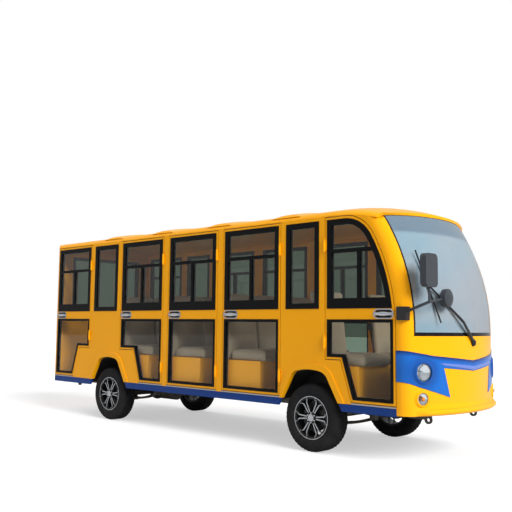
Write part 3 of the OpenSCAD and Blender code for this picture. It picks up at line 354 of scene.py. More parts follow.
mirrorParts = {"low": 1.27, "head": 2.60, "foot": 2.58, "square": 0.95}
data = wear("mirrors", "greyPlastic", "mirrorFace", "blackPlastic")
centres, normals = faceFacts(data)
rearward = normals[:, 0] < -mirrorParts["square"]
index = np.where(rearward & (centres[:, 2] > mirrorParts["low"]) & (centres[:, 0] > mirrorParts["head"]), 1, 0)
index[centres[:, 0] < mirrorParts["foot"]] = 2
assign(data, index)

paneSide = {"low": 0.7480, "high": 0.7550, "split": 1.22, "flat": 0.99}
for name in nodes:
    if name.startswith("windows_") or name == "fixed_windows":
        data = wear(name, "frameBlack", "sideGlass", "lowGlass", "darkGlass")
        centres, normals = faceFacts(data)
        y = np.abs(centres[:, 1])
        pane = (np.abs(normals[:, 1]) > paneSide["flat"]) & (y > paneSide["low"]) & (y < paneSide["high"])
        kind = np.where(centres[:, 1] > 0, 3, np.where(centres[:, 2] > paneSide["split"], 1, 2))
        assign(data, np.where(pane, kind, 0))

paneRear = {"low": -2.7150, "high": -2.7080, "flat": 0.99}
data = wear("rear_window", "frameBlack", "darkGlass")
centres, normals = faceFacts(data)
flat = np.abs(normals[:, 0]) > paneRear["flat"]
assign(data, flat & (centres[:, 0] > paneRear["low"]) & (centres[:, 0] < paneRear["high"]))

handle = {"low": 1.17, "high": 1.27, "skin": 0.7602, "pit": 0.745, "back": 0.725}
for name in nodes:
    if name.startswith("door_"):
        data = wear(name, "yellow", "handleMetal", "blackPlastic")
        centres = faceFacts(data)[0]
        y = np.abs(centres[:, 1])
        near = (centres[:, 2] > handle["low"]) & (centres[:, 2] < handle["high"])
        index = np.zeros(len(y), int)
        index[near & (y > handle["skin"])] = 1
        index[near & (y < handle["pit"]) & (y > handle["back"])] = 2
        assign(data, index)

rimFace = {"plane": 0.7215, "hubLow": 0.033, "hubHigh": 0.0525, "ring": 0.150, "flat": 0.9}
for name in nodes:
    if name.startswith("rim_"):
        data = wear(name, "alloyDark", "alloyBright")
        centres, normals = faceFacts(data)
        mid = midOf(name)
        radius = np.hypot(centres[:, 0] - mid.x, centres[:, 2] - mid.z)
        outer = np.abs(centres[:, 1]) > rimFace["plane"]
        hub = (radius > rimFace["hubLow"]) & (radius < rimFace["hubHigh"])
        front = np.abs(normals[:, 1]) > rimFace["flat"]
        assign(data, outer & (front | (radius > rimFace["ring"]) | (radius < rimFace["hubLow"])) & ~hub)


def smoothFaces(name, angle):  # shades a faceted skin as one, sharp only past the angle
    data = nodes[name].data
    normals = faceFacts(data)[1]
    areas = np.array([p.area for p in data.polygons])
    spots = [tuple(round(c, 5) for c in v.co) for v in data.vertices]
    around = {}
    for poly in data.polygons:
        for v in poly.vertices:
            around.setdefault(spots[v], []).append(poly.index)
    limit = math.cos(math.radians(angle))
    made = [None] * len(data.loops)
    for poly in data.polygons:
        for loop, v in zip(poly.loop_indices, poly.vertices):
            near = [k for k in around[spots[v]] if normals[k] @ normals[poly.index] > limit]
            mean = (normals[near] * areas[near, None]).sum(0)
            made[loop] = tuple(mean / np.linalg.norm(mean))
    data.polygons.foreach_set("use_smooth", [True] * len(data.polygons))
    data.normals_split_custom_set(made)


browAngle = 40
smoothFaces("roof_front", browAngle)
print("CAD nodes dressed")


# building helpers

sides = {"left": 1, "right": -1}


def addMesh(name, verts, faces, finishName, body, slot=None, instead=None, smooth=True):
    data = bpy.data.meshes.new(name)
    data.from_pydata([tuple(v) for v in verts], [], faces)
    data.validate()
    data.materials.append(mats[finishName])
    if smooth:  # caps of five sides up stay flat
        data.polygons.foreach_set("use_smooth", [p.loop_total < 5 for p in data.polygons])
    piece = bpy.data.objects.new(name, data)
    scene.collection.objects.link(piece)
    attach(piece, body)
    if instead:
        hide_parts(instead)
    return piece


def flipped(faces, wanted=True):
    return [tuple(reversed(face)) for face in faces] if wanted else faces


def gridShares(columns, rows):  # (across, up) pairs from -1 to 1
    return [(2 * k / columns - 1, 2 * j / rows - 1) for k in range(columns + 1) for j in range(rows + 1)]


def tubeFaces(rings, steps):  # quads between closed rings of points, with a cap at each end
    faces = []
    for k in range(rings - 1):
        for j in range(steps):
            n = (j + 1) % steps
            faces.append((k * steps + j, (k + 1) * steps + j, (k + 1) * steps + n, k * steps + n))
    return faces + [tuple(range(steps)), tuple(reversed(range((rings - 1) * steps, rings * steps)))]


def lathe(profile, steps, loop=False):  # rings about the y axis from (radius, y) pairs, capped or closed as a loop
    verts = []
    faces = []
    count = len(profile)
    for k in range(steps):
        a = 2 * math.pi * k / steps
        for r, y in profile:
            verts.append((r * math.cos(a), y, r * math.sin(a)))
    for k in range(steps):
        n = (k + 1) % steps
        for j in range(count if loop else count - 1):
            i = (j + 1) % count
            faces.append((k * count + j, k * count + i, n * count + i, n * count + j))
    if not loop:
        faces += [tuple(range(0, steps * count, count)), tuple(reversed(range(count - 1, steps * count, count)))]
    return verts, faces


# tyres with tread

tyreSize = {"radius": 0.300, "half": 0.0875, "bead": 0.178, "beadHalf": 0.0735, "pitches": 46, "groove": 0.009,
            "ribs": ((-0.064, -0.036), (-0.0305, -0.003), (0.003, 0.0305), (0.036, 0.064)), "flank": 0.0012,
            "crown": 0.0008, "perPitch": 4, "cutMid": 0.75, "cutEdge": 0.55, "midHalf": 0.05, "top": 0.005,
            "foot": ((0.001, -0.002), (0.010, -0.0005), (0.022, 0.006)),
            "wall": ((0.040, -0.003), (0.052, 0.0), (0.056, -0.0015), (0.060, 0.0), (0.078, -0.001), (0.086, -0.004)),
            "shoulder": ((-0.024, -0.006), (-0.012, -0.012), (-0.004, -0.019))}


def tyreMesh():
    r, half, groove, bead = (tyreSize[key] for key in ("radius", "half", "groove", "bead"))
    wall = [(bead + a, tyreSize["beadHalf"] + b) for a, b in tyreSize["foot"]]
    wall += [(bead + a, half + b) for a, b in tyreSize["wall"]]
    wall += [(r + a, half + b) for a, b in tyreSize["shoulder"]]
    crown, flank = tyreSize["crown"], tyreSize["flank"]
    profile = [(rad, -y) for rad, y in wall]
    for a, b in tyreSize["ribs"]:
        profile += [(r - groove, a - flank), (r - crown, a), (r, (a + b) / 2), (r - crown, b), (r - groove, b + flank)]
    profile += reversed(wall)
    steps = tyreSize["pitches"] * tyreSize["perPitch"]
    count = len(profile)
    verts, faces = lathe(profile, steps, loop=True)
    for k in range(steps):  # cross cuts between the tread blocks, staggered from side to side
        a = 2 * math.pi * k / steps
        for j, (rad, y) in enumerate(profile):
            shift = tyreSize["perPitch"] // 2 if y > 0 else 0
            if (k + shift) % tyreSize["perPitch"] == 0 and rad > r - tyreSize["top"]:
                cut = rad - groove * tyreSize["cutMid" if abs(y) < tyreSize["midHalf"] else "cutEdge"]
                verts[k * count + j] = (cut * math.cos(a), y, cut * math.sin(a))
    return verts, faces


tyreVerts, tyreFaces = tyreMesh()
wheelNames = ["front_left", "front_right", "rear_left", "rear_right"]
for wheel in wheelNames:
    mid = midOf("tyre_" + wheel)
    placed = [(v[0] + mid.x, v[1] + mid.y, v[2] + mid.z) for v in tyreVerts]
    addMesh("tyreTread." + wheel, placed, tyreFaces, "tyreRubber", "wheel_" + wheel, "tyre_rubber", "tyre_" + wheel)
print("tyres made")


# seats: swelled pads on each place

seat = {"rows": ((1.470, 1, (0, 2)), (0.330, 1, (0, 1, 2)), (-0.520, 1, (0, 1, 2)), (-1.370, 1, (0, 1, 2)),
                 (-1.480, -1, (0, 1, 2))),
        "half": 0.696, "gap": 0.010, "baseTop": 0.770, "backT": 0.095, "cushionL": 0.470, "cushionT": 0.105,
        "backH": 0.560, "lean": 0.070, "rearLean": 0.050, "cell": 0.026, "pressure": 4.0, "stiff": 20, "frames": 14,
        "swell": 0.016, "round": 0.8, "clear": 0.001, "crown": 0.004, "fill": 0.8}
seat["width"] = (2 * seat["half"] - 2 * seat["gap"]) / 3


def gridBox(size, cell):  # closed box with a square grid on each side
    data = bpy.data.meshes.new("gridBox")
    bm = bmesh.new()
    counts = [max(2, round(s / cell)) for s in size]
    lookup = {}

    def vert(i, j, k):
        key = (i, j, k)
        if key not in lookup:
            lookup[key] = bm.verts.new([size[a] * (key[a] / counts[a] - 0.5) for a in range(3)])
        return lookup[key]

    for axis in range(3):
        u, v = (axis + 1) % 3, (axis + 2) % 3
        for end in (0, counts[axis]):
            for a in range(counts[u]):
                for b in range(counts[v]):
                    quad = []
                    for da, db in ((0, 0), (1, 0), (1, 1), (0, 1)):
                        key = [0, 0, 0]
                        key[axis], key[u], key[v] = end, a + da, b + db
                        quad.append(vert(*key))
                    if end == 0:
                        quad.reverse()
                    bm.faces.new(quad)
    bm.to_mesh(data)
    bm.free()
    return data


def swell(data):  # pressure cloth, with each point's travel capped
    piece = bpy.data.objects.new("swelling", data)
    scene.collection.objects.link(piece)
    cloth = piece.modifiers.new("cloth", "CLOTH")
    cloth.settings.use_pressure = True
    cloth.settings.uniform_pressure_force = seat["pressure"]
    cloth.settings.tension_stiffness = seat["stiff"]
    cloth.settings.compression_stiffness = seat["stiff"]
    cloth.settings.effector_weights.gravity = 0
    for step in range(1, seat["frames"] + 1):
        scene.frame_set(step)
    shown = piece.evaluated_get(bpy.context.evaluated_depsgraph_get())
    after = np.array([v.co for v in shown.data.vertices])
    before = np.array([v.co for v in data.vertices])
    move = after - before
    length = np.linalg.norm(move, axis=1, keepdims=True)
    move *= np.minimum(1, seat["swell"] / np.maximum(length, 1e-9))
    bpy.data.objects.remove(piece)
    scene.frame_set(1)
    return before + move


def shapePad(size, low):  # box grid, rounded, swelled and flattened where it rests
    data = gridBox(size, seat["cell"])
    reach = 0.5 * min(size) * seat["round"]
    for v in data.vertices:  # rounded edges before swelling
        for a in range(3):
            b = (a + 1) % 3
            da = abs(v.co[a]) - (size[a] / 2 - reach)
            db = abs(v.co[b]) - (size[b] / 2 - reach)
            if da > 0 and db > 0:
                far = math.hypot(da, db)
                if far > reach:
                    v.co[a] = math.copysign(size[a] / 2 - reach + da * reach / far, v.co[a])
                    v.co[b] = math.copysign(size[b] / 2 - reach + db * reach / far, v.co[b])
    points = np.array([v.co for v in data.vertices])
    points = swell(data)
    points[:, 2] = np.maximum(points[:, 2], low)
    faces = [tuple(p.vertices) for p in data.polygons]
    return points, faces


def fitBox(points, low, high):  # keeps the pad inside the space its solid holds
    span = points.max(0) - points.min(0)
    return (points - points.min(0)) / span * (np.array(high) - np.array(low)) + np.array(low)


width, backTall = seat["width"], seat["backH"] + seat["cushionT"]
padLow, padWidth = (0, seat["clear"], seat["clear"] / 2), width - seat["clear"]
cushionPoints, cushionFaces = shapePad((seat["cushionL"], width, seat["cushionT"]), -seat["cushionT"] / 2)
cushionPoints = fitBox(cushionPoints, padLow, (seat["cushionL"], padWidth, seat["cushionT"] + seat["crown"]))
backPoints, backFaces = shapePad((seat["backT"], width, backTall), -backTall)
backPoints = fitBox(backPoints, padLow, (seat["backT"], padWidth, backTall))


def leanBack(points):  # shears the back along the line of its solid
    made = points.copy()
    rise = np.clip((points[:, 2] - seat["cushionT"]) / seat["backH"], 0, 1)
    front = seat["backT"] - seat["lean"] * rise
    rear = -seat["rearLean"] * points[:, 2] / backTall
    made[:, 0] = rear + (front - rear) * points[:, 0] / seat["backT"]
    return made


backPoints = leanBack(backPoints)
padCount = 0
for rowX, facing, places in seat["rows"]:
    for k in places:
        y = -seat["half"] + k * (width + seat["gap"])
        padCount += 1
        for kind, instead, points, faces, start in (
                ("seatCushion", "seat_cushions", cushionPoints, cushionFaces, seat["backT"] + seat["clear"]),
                ("seatBack", "seat_backs", backPoints, backFaces, 0.0)):
            placed = points.copy()
            placed[:, 0] = rowX + facing * (placed[:, 0] + start)
            placed[:, 1] += y
            placed[:, 2] += seat["baseTop"]
            pad = addMesh(f"{kind}.{padCount:02d}", placed, flipped(faces, facing < 0), "vinylSeat", "chassis",
                          "seat_fabric", instead)
            soften = pad.modifiers.new("soften", "SUBSURF")
            soften.levels = soften.render_levels = 1
print("seats made:", padCount)


# front lamps: reflector, bulb, lens and bright ring

nose = {"tip": 2.680, "radius": 1.544}
lamps = {
    "head": dict(node="head_lamps", y=0.612, z=0.748, r=0.074, base=0.0, rise=0.012, deep=0.040, bulb=0.012,
                 bulbFinish="chrome", slot="clear_lens"),
    "turn": dict(node="indicators", y=0.624, z=0.537, r=0.050, base=0.010, rise=0.008, deep=0.020, bulb=0.017,
                 bulbFinish="amberLens", slot="amber_lens"),
}
lampFit = {"gap": 0.0004, "lensT": 0.003, "lensEdge": 0.002, "lensFlat": 0.0005, "seat": 0.0035, "wall": 0.003,
           "bowlTop": 0.0045, "bowlBack": 0.007, "bowlSteps": 12, "ringIn": 0.005, "ringLow": 0.004, "ringHalf": 0.004,
           "ringTall": 0.0035, "bulbLow": 0.006, "bulbLift": 1.1, "steps": 40, "arc": 8, "axis": 0.0002}


def noseMap(points, y, z):  # from (side, out, up) at a place on the nose to the shared frame
    turn = math.asin(y / nose["radius"])
    out = np.array((math.cos(turn), math.sin(turn), 0))
    side = np.array((math.sin(turn), -math.cos(turn), 0))
    start = np.array((nose["tip"] - nose["radius"] + nose["radius"] * math.cos(turn), y, z))
    points = np.array(points)
    return start + points[:, :1] * side + points[:, 1:2] * out + points[:, 2:] * np.array((0, 0, 1.0))


def dome(r, rise, base, steps=10):  # (radius, height) pairs from the middle to the edge
    bow = (r * r + rise * rise) / (2 * rise)
    radii = [r * k / steps for k in range(steps + 1)]
    return [(a, base + rise - bow + math.sqrt(bow * bow - a ** 2)) for a in radii]


def lampParts(facts):
    fit, base, deep = lampFit, facts["base"], facts["deep"]
    r, seatLow = facts["r"] - fit["gap"], base - fit["seat"]
    lens = dome(r, facts["rise"], base) + [(r, base - fit["lensT"])]
    inner = dome(r - fit["lensEdge"], facts["rise"] - fit["lensFlat"], base)
    lens += [(a, h - fit["lensT"]) for a, h in reversed(inner)]
    mouth, depth, rounds = r - fit["wall"], deep - fit["bowlBack"], fit["bowlSteps"]
    bowl = [(fit["axis"], base - deep), (r, base - deep), (r, seatLow), (mouth, seatLow)]
    bowl += [(mouth * k / rounds, base - fit["bowlTop"] - depth * (1 - (k / rounds) ** 2))
             for k in range(rounds, -1, -1)]
    ring = [(r - fit["ringIn"] + fit["ringHalf"] * math.cos(a), base - fit["ringLow"] + fit["ringTall"] * math.sin(a))
            for a in (2 * math.pi * k / fit["arc"] for k in range(fit["arc"]))]
    ball = facts["bulb"]
    middle = base - fit["bulbLow"] - depth + ball * fit["bulbLift"]
    bulb = [(ball * math.sin(a), middle - ball * math.cos(a))
            for a in (math.pi * k / fit["arc"] for k in range(fit["arc"] + 1))]
    return (("Lens", lens[::-1], "lampLens"), ("Bowl", bowl, "reflector"), ("Ring", ring, "chrome"),
            ("Bulb", bulb, facts["bulbFinish"]))


for kind, facts in lamps.items():
    for sideName, side in sides.items():
        for part, profile, finishName in lampParts(facts):
            profile = [(max(a, lampFit["axis"]), h) for a, h in profile]
            verts, faces = lathe(profile, lampFit["steps"], loop=part == "Ring")
            verts = noseMap(verts, side * facts["y"], facts["z"])
            addMesh(f"{kind}{part}.{sideName}", verts, faces, finishName, "chassis",
                    facts["slot"] if part == "Lens" else None, facts["node"])
print("front lamps made")


# painted shade on the band: a painted shadow under its top edge, where the yellow panel overhangs, and painted shade
# round the headlamps

bandPaintedShade = {"mid": 0.835, "slope": 0.0881, "bend": 0.522, "sideSlope": 0.1725, "line": 0.008, "fade": 0.040,
             "edgeAmount": 0.85, "near": 0.092, "far": 0.170, "lampAmount": 0.5, "dark": linear(8, 34, 92)}


def paintBandShade(material):
    tree = material.node_tree
    shader = next(item for item in tree.nodes if item.type == "BSDF_PRINCIPLED")
    base = shader.inputs["Base Color"].links[0].from_socket
    axes = axesOf(tree, "Object")
    across = mathNode(tree, "ABSOLUTE", axes["Y"])
    middle = mathNode(tree, "MULTIPLY_ADD", across, bandPaintedShade["slope"], bandPaintedShade["mid"])
    beyond = mathNode(tree, "SUBTRACT", across, bandPaintedShade["bend"])
    corner = bandPaintedShade["mid"] + bandPaintedShade["slope"] * bandPaintedShade["bend"]
    outer = mathNode(tree, "MULTIPLY_ADD", beyond, bandPaintedShade["sideSlope"], corner)
    depth = mathNode(tree, "SUBTRACT", mathNode(tree, "MAXIMUM", middle, outer), axes["Z"])
    # painted shadow under the band's top edge
    edge = mathNode(tree, "MULTIPLY", ramp(tree, depth, bandPaintedShade["fade"], bandPaintedShade["line"]), bandPaintedShade["edgeAmount"])
    dy = mathNode(tree, "SUBTRACT", across, lamps["head"]["y"])
    dz = mathNode(tree, "SUBTRACT", axes["Z"], lamps["head"]["z"])
    square = mathNode(tree, "MULTIPLY_ADD", dy, dy, mathNode(tree, "MULTIPLY", dz, dz))
    # painted shade round the headlamps
    near = ramp(tree, mathNode(tree, "SQRT", square), bandPaintedShade["far"], bandPaintedShade["near"])
    factor = mathNode(tree, "MAXIMUM", edge, mathNode(tree, "MULTIPLY", near, bandPaintedShade["lampAmount"]))
    # the painted shade is mixed into the band's own blue
    feed(shader.inputs["Base Color"], mixColour(tree, factor, base, bandPaintedShade["dark"]))


paintBandShade(mats["bandBlue"])
print("band shaded")


# coves that flare from the lamp rims into the nose

coves = {
    # the head coves share the band's material, so they carry its painted shade round the headlamps
    "head": dict(inner=0.0865, outer=0.114, top=0.0156, low=0.003, finish="bandBlue", slot="blue_paint"),
    "turn": dict(inner=0.0605, outer=0.086, top=0.0136, low=-0.002, finish="yellow", slot="yellow_paint"),
}
coveGrid = {"rings": 8, "steps": 72, "sink": 0.002}


def coveMesh(facts, y, z):
    rings, steps = coveGrid["rings"], coveGrid["steps"]
    shares = [j / rings for j in range(rings + 1)]
    section = [(facts["inner"] + (facts["outer"] - facts["inner"]) * t,
                facts["low"] + (facts["top"] - facts["low"]) * (1 - t) ** 2) for t in shares]
    section.append((facts["inner"], facts["low"] - coveGrid["sink"]))
    verts, faces = lathe(section, steps, loop=True)
    verts = [(x, h - t * x ** 2 / (2 * nose["radius"]), up) for (x, h, up), t in zip(verts, (shares + [1.0]) * steps)]
    return noseMap(verts, y, z), flipped(faces)


for kind, facts in coves.items():
    for sideName, side in sides.items():
        verts, faces = coveMesh(facts, side * lamps[kind]["y"], lamps[kind]["z"])
        addMesh(f"{kind}Cove.{sideName}", verts, faces, facts["finish"], "chassis", facts["slot"])
print("lamp coves made")


# ends of the bumper lip, faded into the nose

lipEnd = {"start": 0.5776, "stop": 0.690, "low": 0.4002, "roll": 0.0259, "out": 0.014, "shoulder": 0.492,
          "inside": -0.004, "crest": 0.001, "sink": 0.002, "end": 0.04, "columns": 24, "arc": (-80, 15, 11)}


def lipMesh(side):
    roll, low, sink = lipEnd["roll"], lipEnd["low"], lipEnd["sink"]
    first, step, count = lipEnd["arc"]
    profile = [(lipEnd["inside"], low), (lipEnd["out"], low)]
    profile += [(lipEnd["out"] + roll * math.cos(a), low + roll + roll * math.sin(a))
                for a in (math.radians(first + step * k) for k in range(count))]
    profile += [(lipEnd["crest"], lipEnd["shoulder"]), (lipEnd["inside"], lipEnd["shoulder"])]
    verts = []
    start, stop = (math.asin(lipEnd[key] / nose["radius"]) for key in ("start", "stop"))
    for k in range(lipEnd["columns"] + 1):
        t = k / lipEnd["columns"]
        a = side * (start + (stop - start) * t)
        share = (1 + lipEnd["end"]) / 2 + (1 - lipEnd["end"]) / 2 * math.cos(math.pi * t)
        for out, z in profile:
            r = nose["radius"] + (out + sink) * share - sink
            verts.append((nose["tip"] - nose["radius"] + r * math.cos(a), r * math.sin(a), z))
    return verts, flipped(tubeFaces(lipEnd["columns"] + 1, len(profile)), side < 0)


for sideName, side in sides.items():
    addMesh("lipEnd." + sideName, *lipMesh(side), "yellow", "chassis", "yellow_paint")
print("lip ends made")


# pale moulding in the V of the blue band

vee = {"half": 0.470, "lowMid": 0.752, "highMid": 0.789, "lowEnd": 0.806, "highEnd": 0.826, "skin": 0.0055,
       "proud": 0.004, "point": 0.12, "blunt": 0.02, "columns": 60, "rows": 8}


def veeStrip():
    verts = []
    rows, columns = vee["rows"], vee["columns"]
    for k in range(columns + 1):
        share = 2 * k / columns - 1
        y = vee["half"] * share
        low = vee["lowMid"] + (vee["lowEnd"] - vee["lowMid"]) * abs(share)
        high = vee["highMid"] + (vee["highEnd"] - vee["highMid"]) * abs(share)
        close = max(vee["blunt"], min(1.0, (1 - abs(share)) / vee["point"]))
        middle = high - (high - low) / 2 * close
        low = middle - (high - low) / 2 * close
        for j in range(rows + 1):
            u = j / rows
            r = nose["radius"] + vee["skin"] + vee["proud"] * math.sqrt(max(0, math.sin(math.pi * u))) * close
            verts.append((nose["tip"] - nose["radius"] + math.sqrt(r * r - y * y), y, low + (high - low) * close * u))
    return verts, tubeFaces(columns + 1, rows + 1)


addMesh("veeMoulding", *veeStrip(), "paleBlue", "chassis", "blue_paint")
print("moulding made")


# black inner part of each wheel's rim ring

rimShade = {"inner": 0.1676, "outer": 0.1840, "face": 0.7316, "proud": 0.0006, "edge": 0.0004, "deep": 0.009,
            "steps": 96}


def rimPlace(wheel):  # middle of the rim, and the way its face looks along y
    mid = midOf("rim_" + wheel)
    return mid, 1 if mid.y > 0 else -1


for wheel in wheelNames:
    mid, outward = rimPlace(wheel)
    inner, outer, proud, edge = (rimShade[key] for key in ("inner", "outer", "proud", "edge"))
    profile = [(outer, 0.0), (outer - edge, proud), (inner + edge, proud), (inner, 0.0), (inner, -rimShade["deep"])]
    verts, faces = lathe(profile, rimShade["steps"], loop=True)
    verts = [(mid.x + v[0], outward * (rimShade["face"] + v[1]), mid.z + v[2]) for v in verts]
    addMesh("rimShade." + wheel, verts, flipped(faces, outward < 0), "alloyDark", "wheel_" + wheel)
print("rim rings made")


# bright tips that carry the spoke prongs over the rim ring

tips = {"spokes": 6, "spread": 14.2, "rIn": 0.1630, "rOut": 0.1868, "faceIn": 0.7316, "faceOut": 0.7326,
        "halfIn": 0.0050, "halfOut": 0.0042, "deep": 0.0098}


def tipMesh(mid, outward):
    verts, faces = [], []
    ends = [[tips[key + end] for key in ("r", "face", "half")] for end in ("In", "Out")]
    block = flipped(tubeFaces(2, 4), outward < 0)
    for k in range(tips["spokes"]):
        for way in (-1, 1):
            a = 2 * math.pi * k / tips["spokes"] + way * math.radians(tips["spread"])
            faces += [tuple(len(verts) + i for i in face) for face in block]
            for r, face, half in ends:
                back = face - tips["deep"]
                for across, y in ((-half, back), (half, back), (half, face), (-half, face)):
                    verts.append((mid.x + r * math.cos(a) - across * math.sin(a), outward * y,
                                  mid.z + r * math.sin(a) + across * math.cos(a)))
    return verts, faces


for wheel in wheelNames:
    verts, faces = tipMesh(*rimPlace(wheel))
    addMesh("spokeTips." + wheel, verts, faces, "alloyBright", "wheel_" + wheel, "wheel_alloy", smooth=False)
print("spoke tips made")


# round cover on the back of the convex mirror

cover = {"place": (2.690, -0.430, 1.352), "r": 0.0755, "deep": 0.026, "rounds": 14, "steps": 48, "axis": 0.0003}
profile = [(max(a, cover["axis"]), h) for a, h in dome(cover["r"], cover["deep"], 0.0, cover["rounds"])]
verts, faces = lathe(profile[::-1], cover["steps"])
x, y, z = cover["place"]
verts = [(x + v[1], y + v[0], z + v[2]) for v in verts]
addMesh("convexCover", verts, flipped(faces), "greyPlastic", "chassis")
print("mirror cover made")


# tail lamps: amber, red and clear fields with ribbed lenses

tail = {"y": 0.640, "half": 0.0445, "low": 0.8205, "high": 1.0795, "face": -2.7195, "deep": 0.009, "rib": 0.0012,
        "ribs": 12, "corner": 10, "rows": 14, "columns": 24,
        "fields": ((0.0, 0.22, "lampWhite", "clear_lens"), (0.22, 0.72, "redLens", "red_lens"),
                   (0.72, 1.0, "amberLens", "amber_lens"))}


def tailField(low, high):  # one ribbed lens with a rounded rim
    verts = []
    for u, v in gridShares(tail["columns"], tail["rows"]):
        edge = (1 - abs(u) ** tail["corner"]) * (1 - abs(v) ** tail["corner"])
        wave = 0.5 + 0.5 * math.cos(math.pi * tail["ribs"] * u)
        x = tail["face"] + tail["deep"] * (1 - edge ** 0.5) + tail["rib"] * wave * edge
        verts.append((x, tail["half"] * u, (low + high) / 2 + (high - low) / 2 * v))
    return verts, flipped(tubeFaces(tail["columns"] + 1, tail["rows"] + 1))


for sideName, side in sides.items():
    for number, (a, b, finishName, slotName) in enumerate(tail["fields"]):
        tall = tail["high"] - tail["low"]
        verts, faces = tailField(tail["low"] + a * tall, tail["low"] + b * tall)
        verts = [(v[0], v[1] + side * tail["y"], v[2]) for v in verts]
        addMesh(f"tailLens.{sideName}.{number}", verts, faces, finishName, "chassis", slotName, "tail_lamps")
print("tail lamps made")


# wheel nuts

nuts = {"count": 6, "circle": 0.042, "r": 0.0075, "face": 0.7236, "tall": 0.008, "sides": 6, "edge": 0.7,
        "crown": 0.75, "axis": 0.0003}
r, tall = nuts["r"], nuts["tall"]
profile = [(r, 0.0), (r, tall * nuts["edge"]), (r * nuts["crown"], tall), (nuts["axis"], tall)]
nutVerts, nutFaces = lathe(profile, nuts["sides"])
for wheel in wheelNames:
    mid, outward = rimPlace(wheel)
    order = flipped(nutFaces, outward < 0)
    verts, faces = [], []
    for k in range(nuts["count"]):
        a = 2 * math.pi * (k + 0.5) / nuts["count"]
        faces += [tuple(i + len(verts) for i in face) for face in order]
        verts += [(mid.x + v[0] + nuts["circle"] * math.cos(a), outward * (nuts["face"] + v[1]),
                   mid.z + v[2] + nuts["circle"] * math.sin(a)) for v in nutVerts]
    addMesh("wheelNuts." + wheel, verts, faces, "chrome", "wheel_" + wheel, "wheel_alloy", smooth=False)
print("wheel nuts made")


# curved levers on the door handles

lever = {"half": 0.086, "tall": 0.019, "skin": 0.7690, "proud": 0.009, "z": 1.2195, "inset": 0.118,
         "blunt": 0.05, "taper": 2.2, "bow": 0.6, "rows": 10, "columns": 28,
         "doors": {"door_right_1": (2.393, -1), "door_right_2": (0.372, 1), "door_right_3": (-0.478, 1),
                   "door_right_4": (-1.328, 1), "door_right_5": (-2.675, 1), "door_left_1": (2.393, -1)}}


def leverMesh():  # long pointed dome, as (along, out, up)
    verts = []
    for u, v in gridShares(lever["columns"], lever["rows"]):
        tall = lever["tall"] * max(lever["blunt"], 1 - abs(u) ** lever["taper"])
        out = lever["proud"] * max(0.0, 1 - v * v) ** 0.5 * (1 - lever["bow"] * u * u)
        verts.append((lever["half"] * u, out, tall * v))
    return verts, tubeFaces(lever["columns"] + 1, lever["rows"] + 1)


leverVerts, leverFaces = leverMesh()
for door, (edge, way) in lever["doors"].items():
    side = 1 if "left" in door else -1
    x = edge + way * lever["inset"]
    verts = [(x + v[0], side * (lever["skin"] + v[1]), lever["z"] + v[2]) for v in leverVerts]
    addMesh("lever." + door, verts, flipped(leverFaces, side > 0), "handleMetal", door, "wheel_alloy")
print("door levers made")


# hand lever beside the driver

hand = {"foot": (1.690, 0.0, 0.772), "head": (1.634, 0.0, 1.075), "r": 0.009, "knobR": 0.026, "knobTall": 0.075,
        "knobSteps": 12, "knobBlunt": 0.6, "steps": 24, "axis": 0.0004, "bootTop": 0.060,
        "boot": ((0.045, 0.0), (0.043, 0.012), (0.030, 0.022), (0.032, 0.034), (0.020, 0.046))}


def handLever():
    foot, head = Vector(hand["foot"]), Vector(hand["head"])
    turn = Vector((0, 1, 0)).rotation_difference((head - foot).normalized())
    long, r = (head - foot).length, hand["r"]
    knob = [(max(hand["axis"], hand["knobR"] * math.sin(a) ** hand["knobBlunt"]),
             long + hand["knobTall"] * (0.5 - 0.5 * math.cos(a)))
            for a in (math.pi * k / hand["knobSteps"] for k in range(1, hand["knobSteps"]))]
    profile = [*hand["boot"], (r, hand["bootTop"]), (r, long), *knob, (hand["axis"], long + hand["knobTall"])]
    verts, faces = lathe(profile, hand["steps"])
    return [tuple(foot + turn @ Vector(v)) for v in verts], faces


addMesh("handLever", *handLever(), "blackPlastic", "chassis", "dark_plastic")
print("hand lever made")


# wiper: tapered arm on a capped pivot, and a blade held at its middle

wiper = {"foot": 2.680, "pivot": (2.694, 0.0, 0.985), "elbow": (2.7001, -0.1999, 1.160), "reach": 0.014,
         "low": (2.6401, -0.470, 1.150), "high": (2.4766, -0.590, 1.7499), "armHalf": (0.018, 0.015, 0.007),
         "bladeHalf": (0.003, 0.010, 0.012, 0.010, 0.003), "thick": 0.007, "steps": 16,
         "cap": ((0.030, 0.0), (0.030, 0.012), (0.0225, 0.0216), (0.0003, 0.024)), "capSteps": 32}


def sweepBar(path, halves):  # flat oval bar along a path, with a half width at each point
    path, steps = [Vector(p) for p in path], wiper["steps"]
    verts = []
    for k, point in enumerate(path):
        along = (path[min(k + 1, len(path) - 1)] - path[max(k - 1, 0)]).normalized()
        side = along.cross(Vector((1, 0, 0))).normalized()
        out = side.cross(along)
        for a in (2 * math.pi * j / steps for j in range(steps)):
            verts.append(point + side * halves[k] * math.cos(a) + out * wiper["thick"] * math.sin(a))
    return verts, tubeFaces(len(path), steps)


def wiperParts():
    low, high = Vector(wiper["low"]), Vector(wiper["high"])
    wrist = (low + high) / 2 + Vector((wiper["reach"], 0, 0))
    arm = sweepBar((wiper["pivot"], wiper["elbow"], wrist), wiper["armHalf"])
    last = len(wiper["bladeHalf"]) - 1
    blade = sweepBar([low.lerp(high, k / last) for k in range(last + 1)], wiper["bladeHalf"])
    verts, faces = lathe(wiper["cap"], wiper["capSteps"])
    cap = [(wiper["foot"] + v[1], v[0], wiper["pivot"][2] + v[2]) for v in verts], flipped(faces)
    return {"wiperArm": arm, "wiperBlade": blade, "wiperCap": cap}


for name, (verts, faces) in wiperParts().items():
    addMesh(name, verts, faces, "blackPlastic", "chassis", "dark_plastic", "wiper")
print("wiper made")


# bright sill strips under the doors

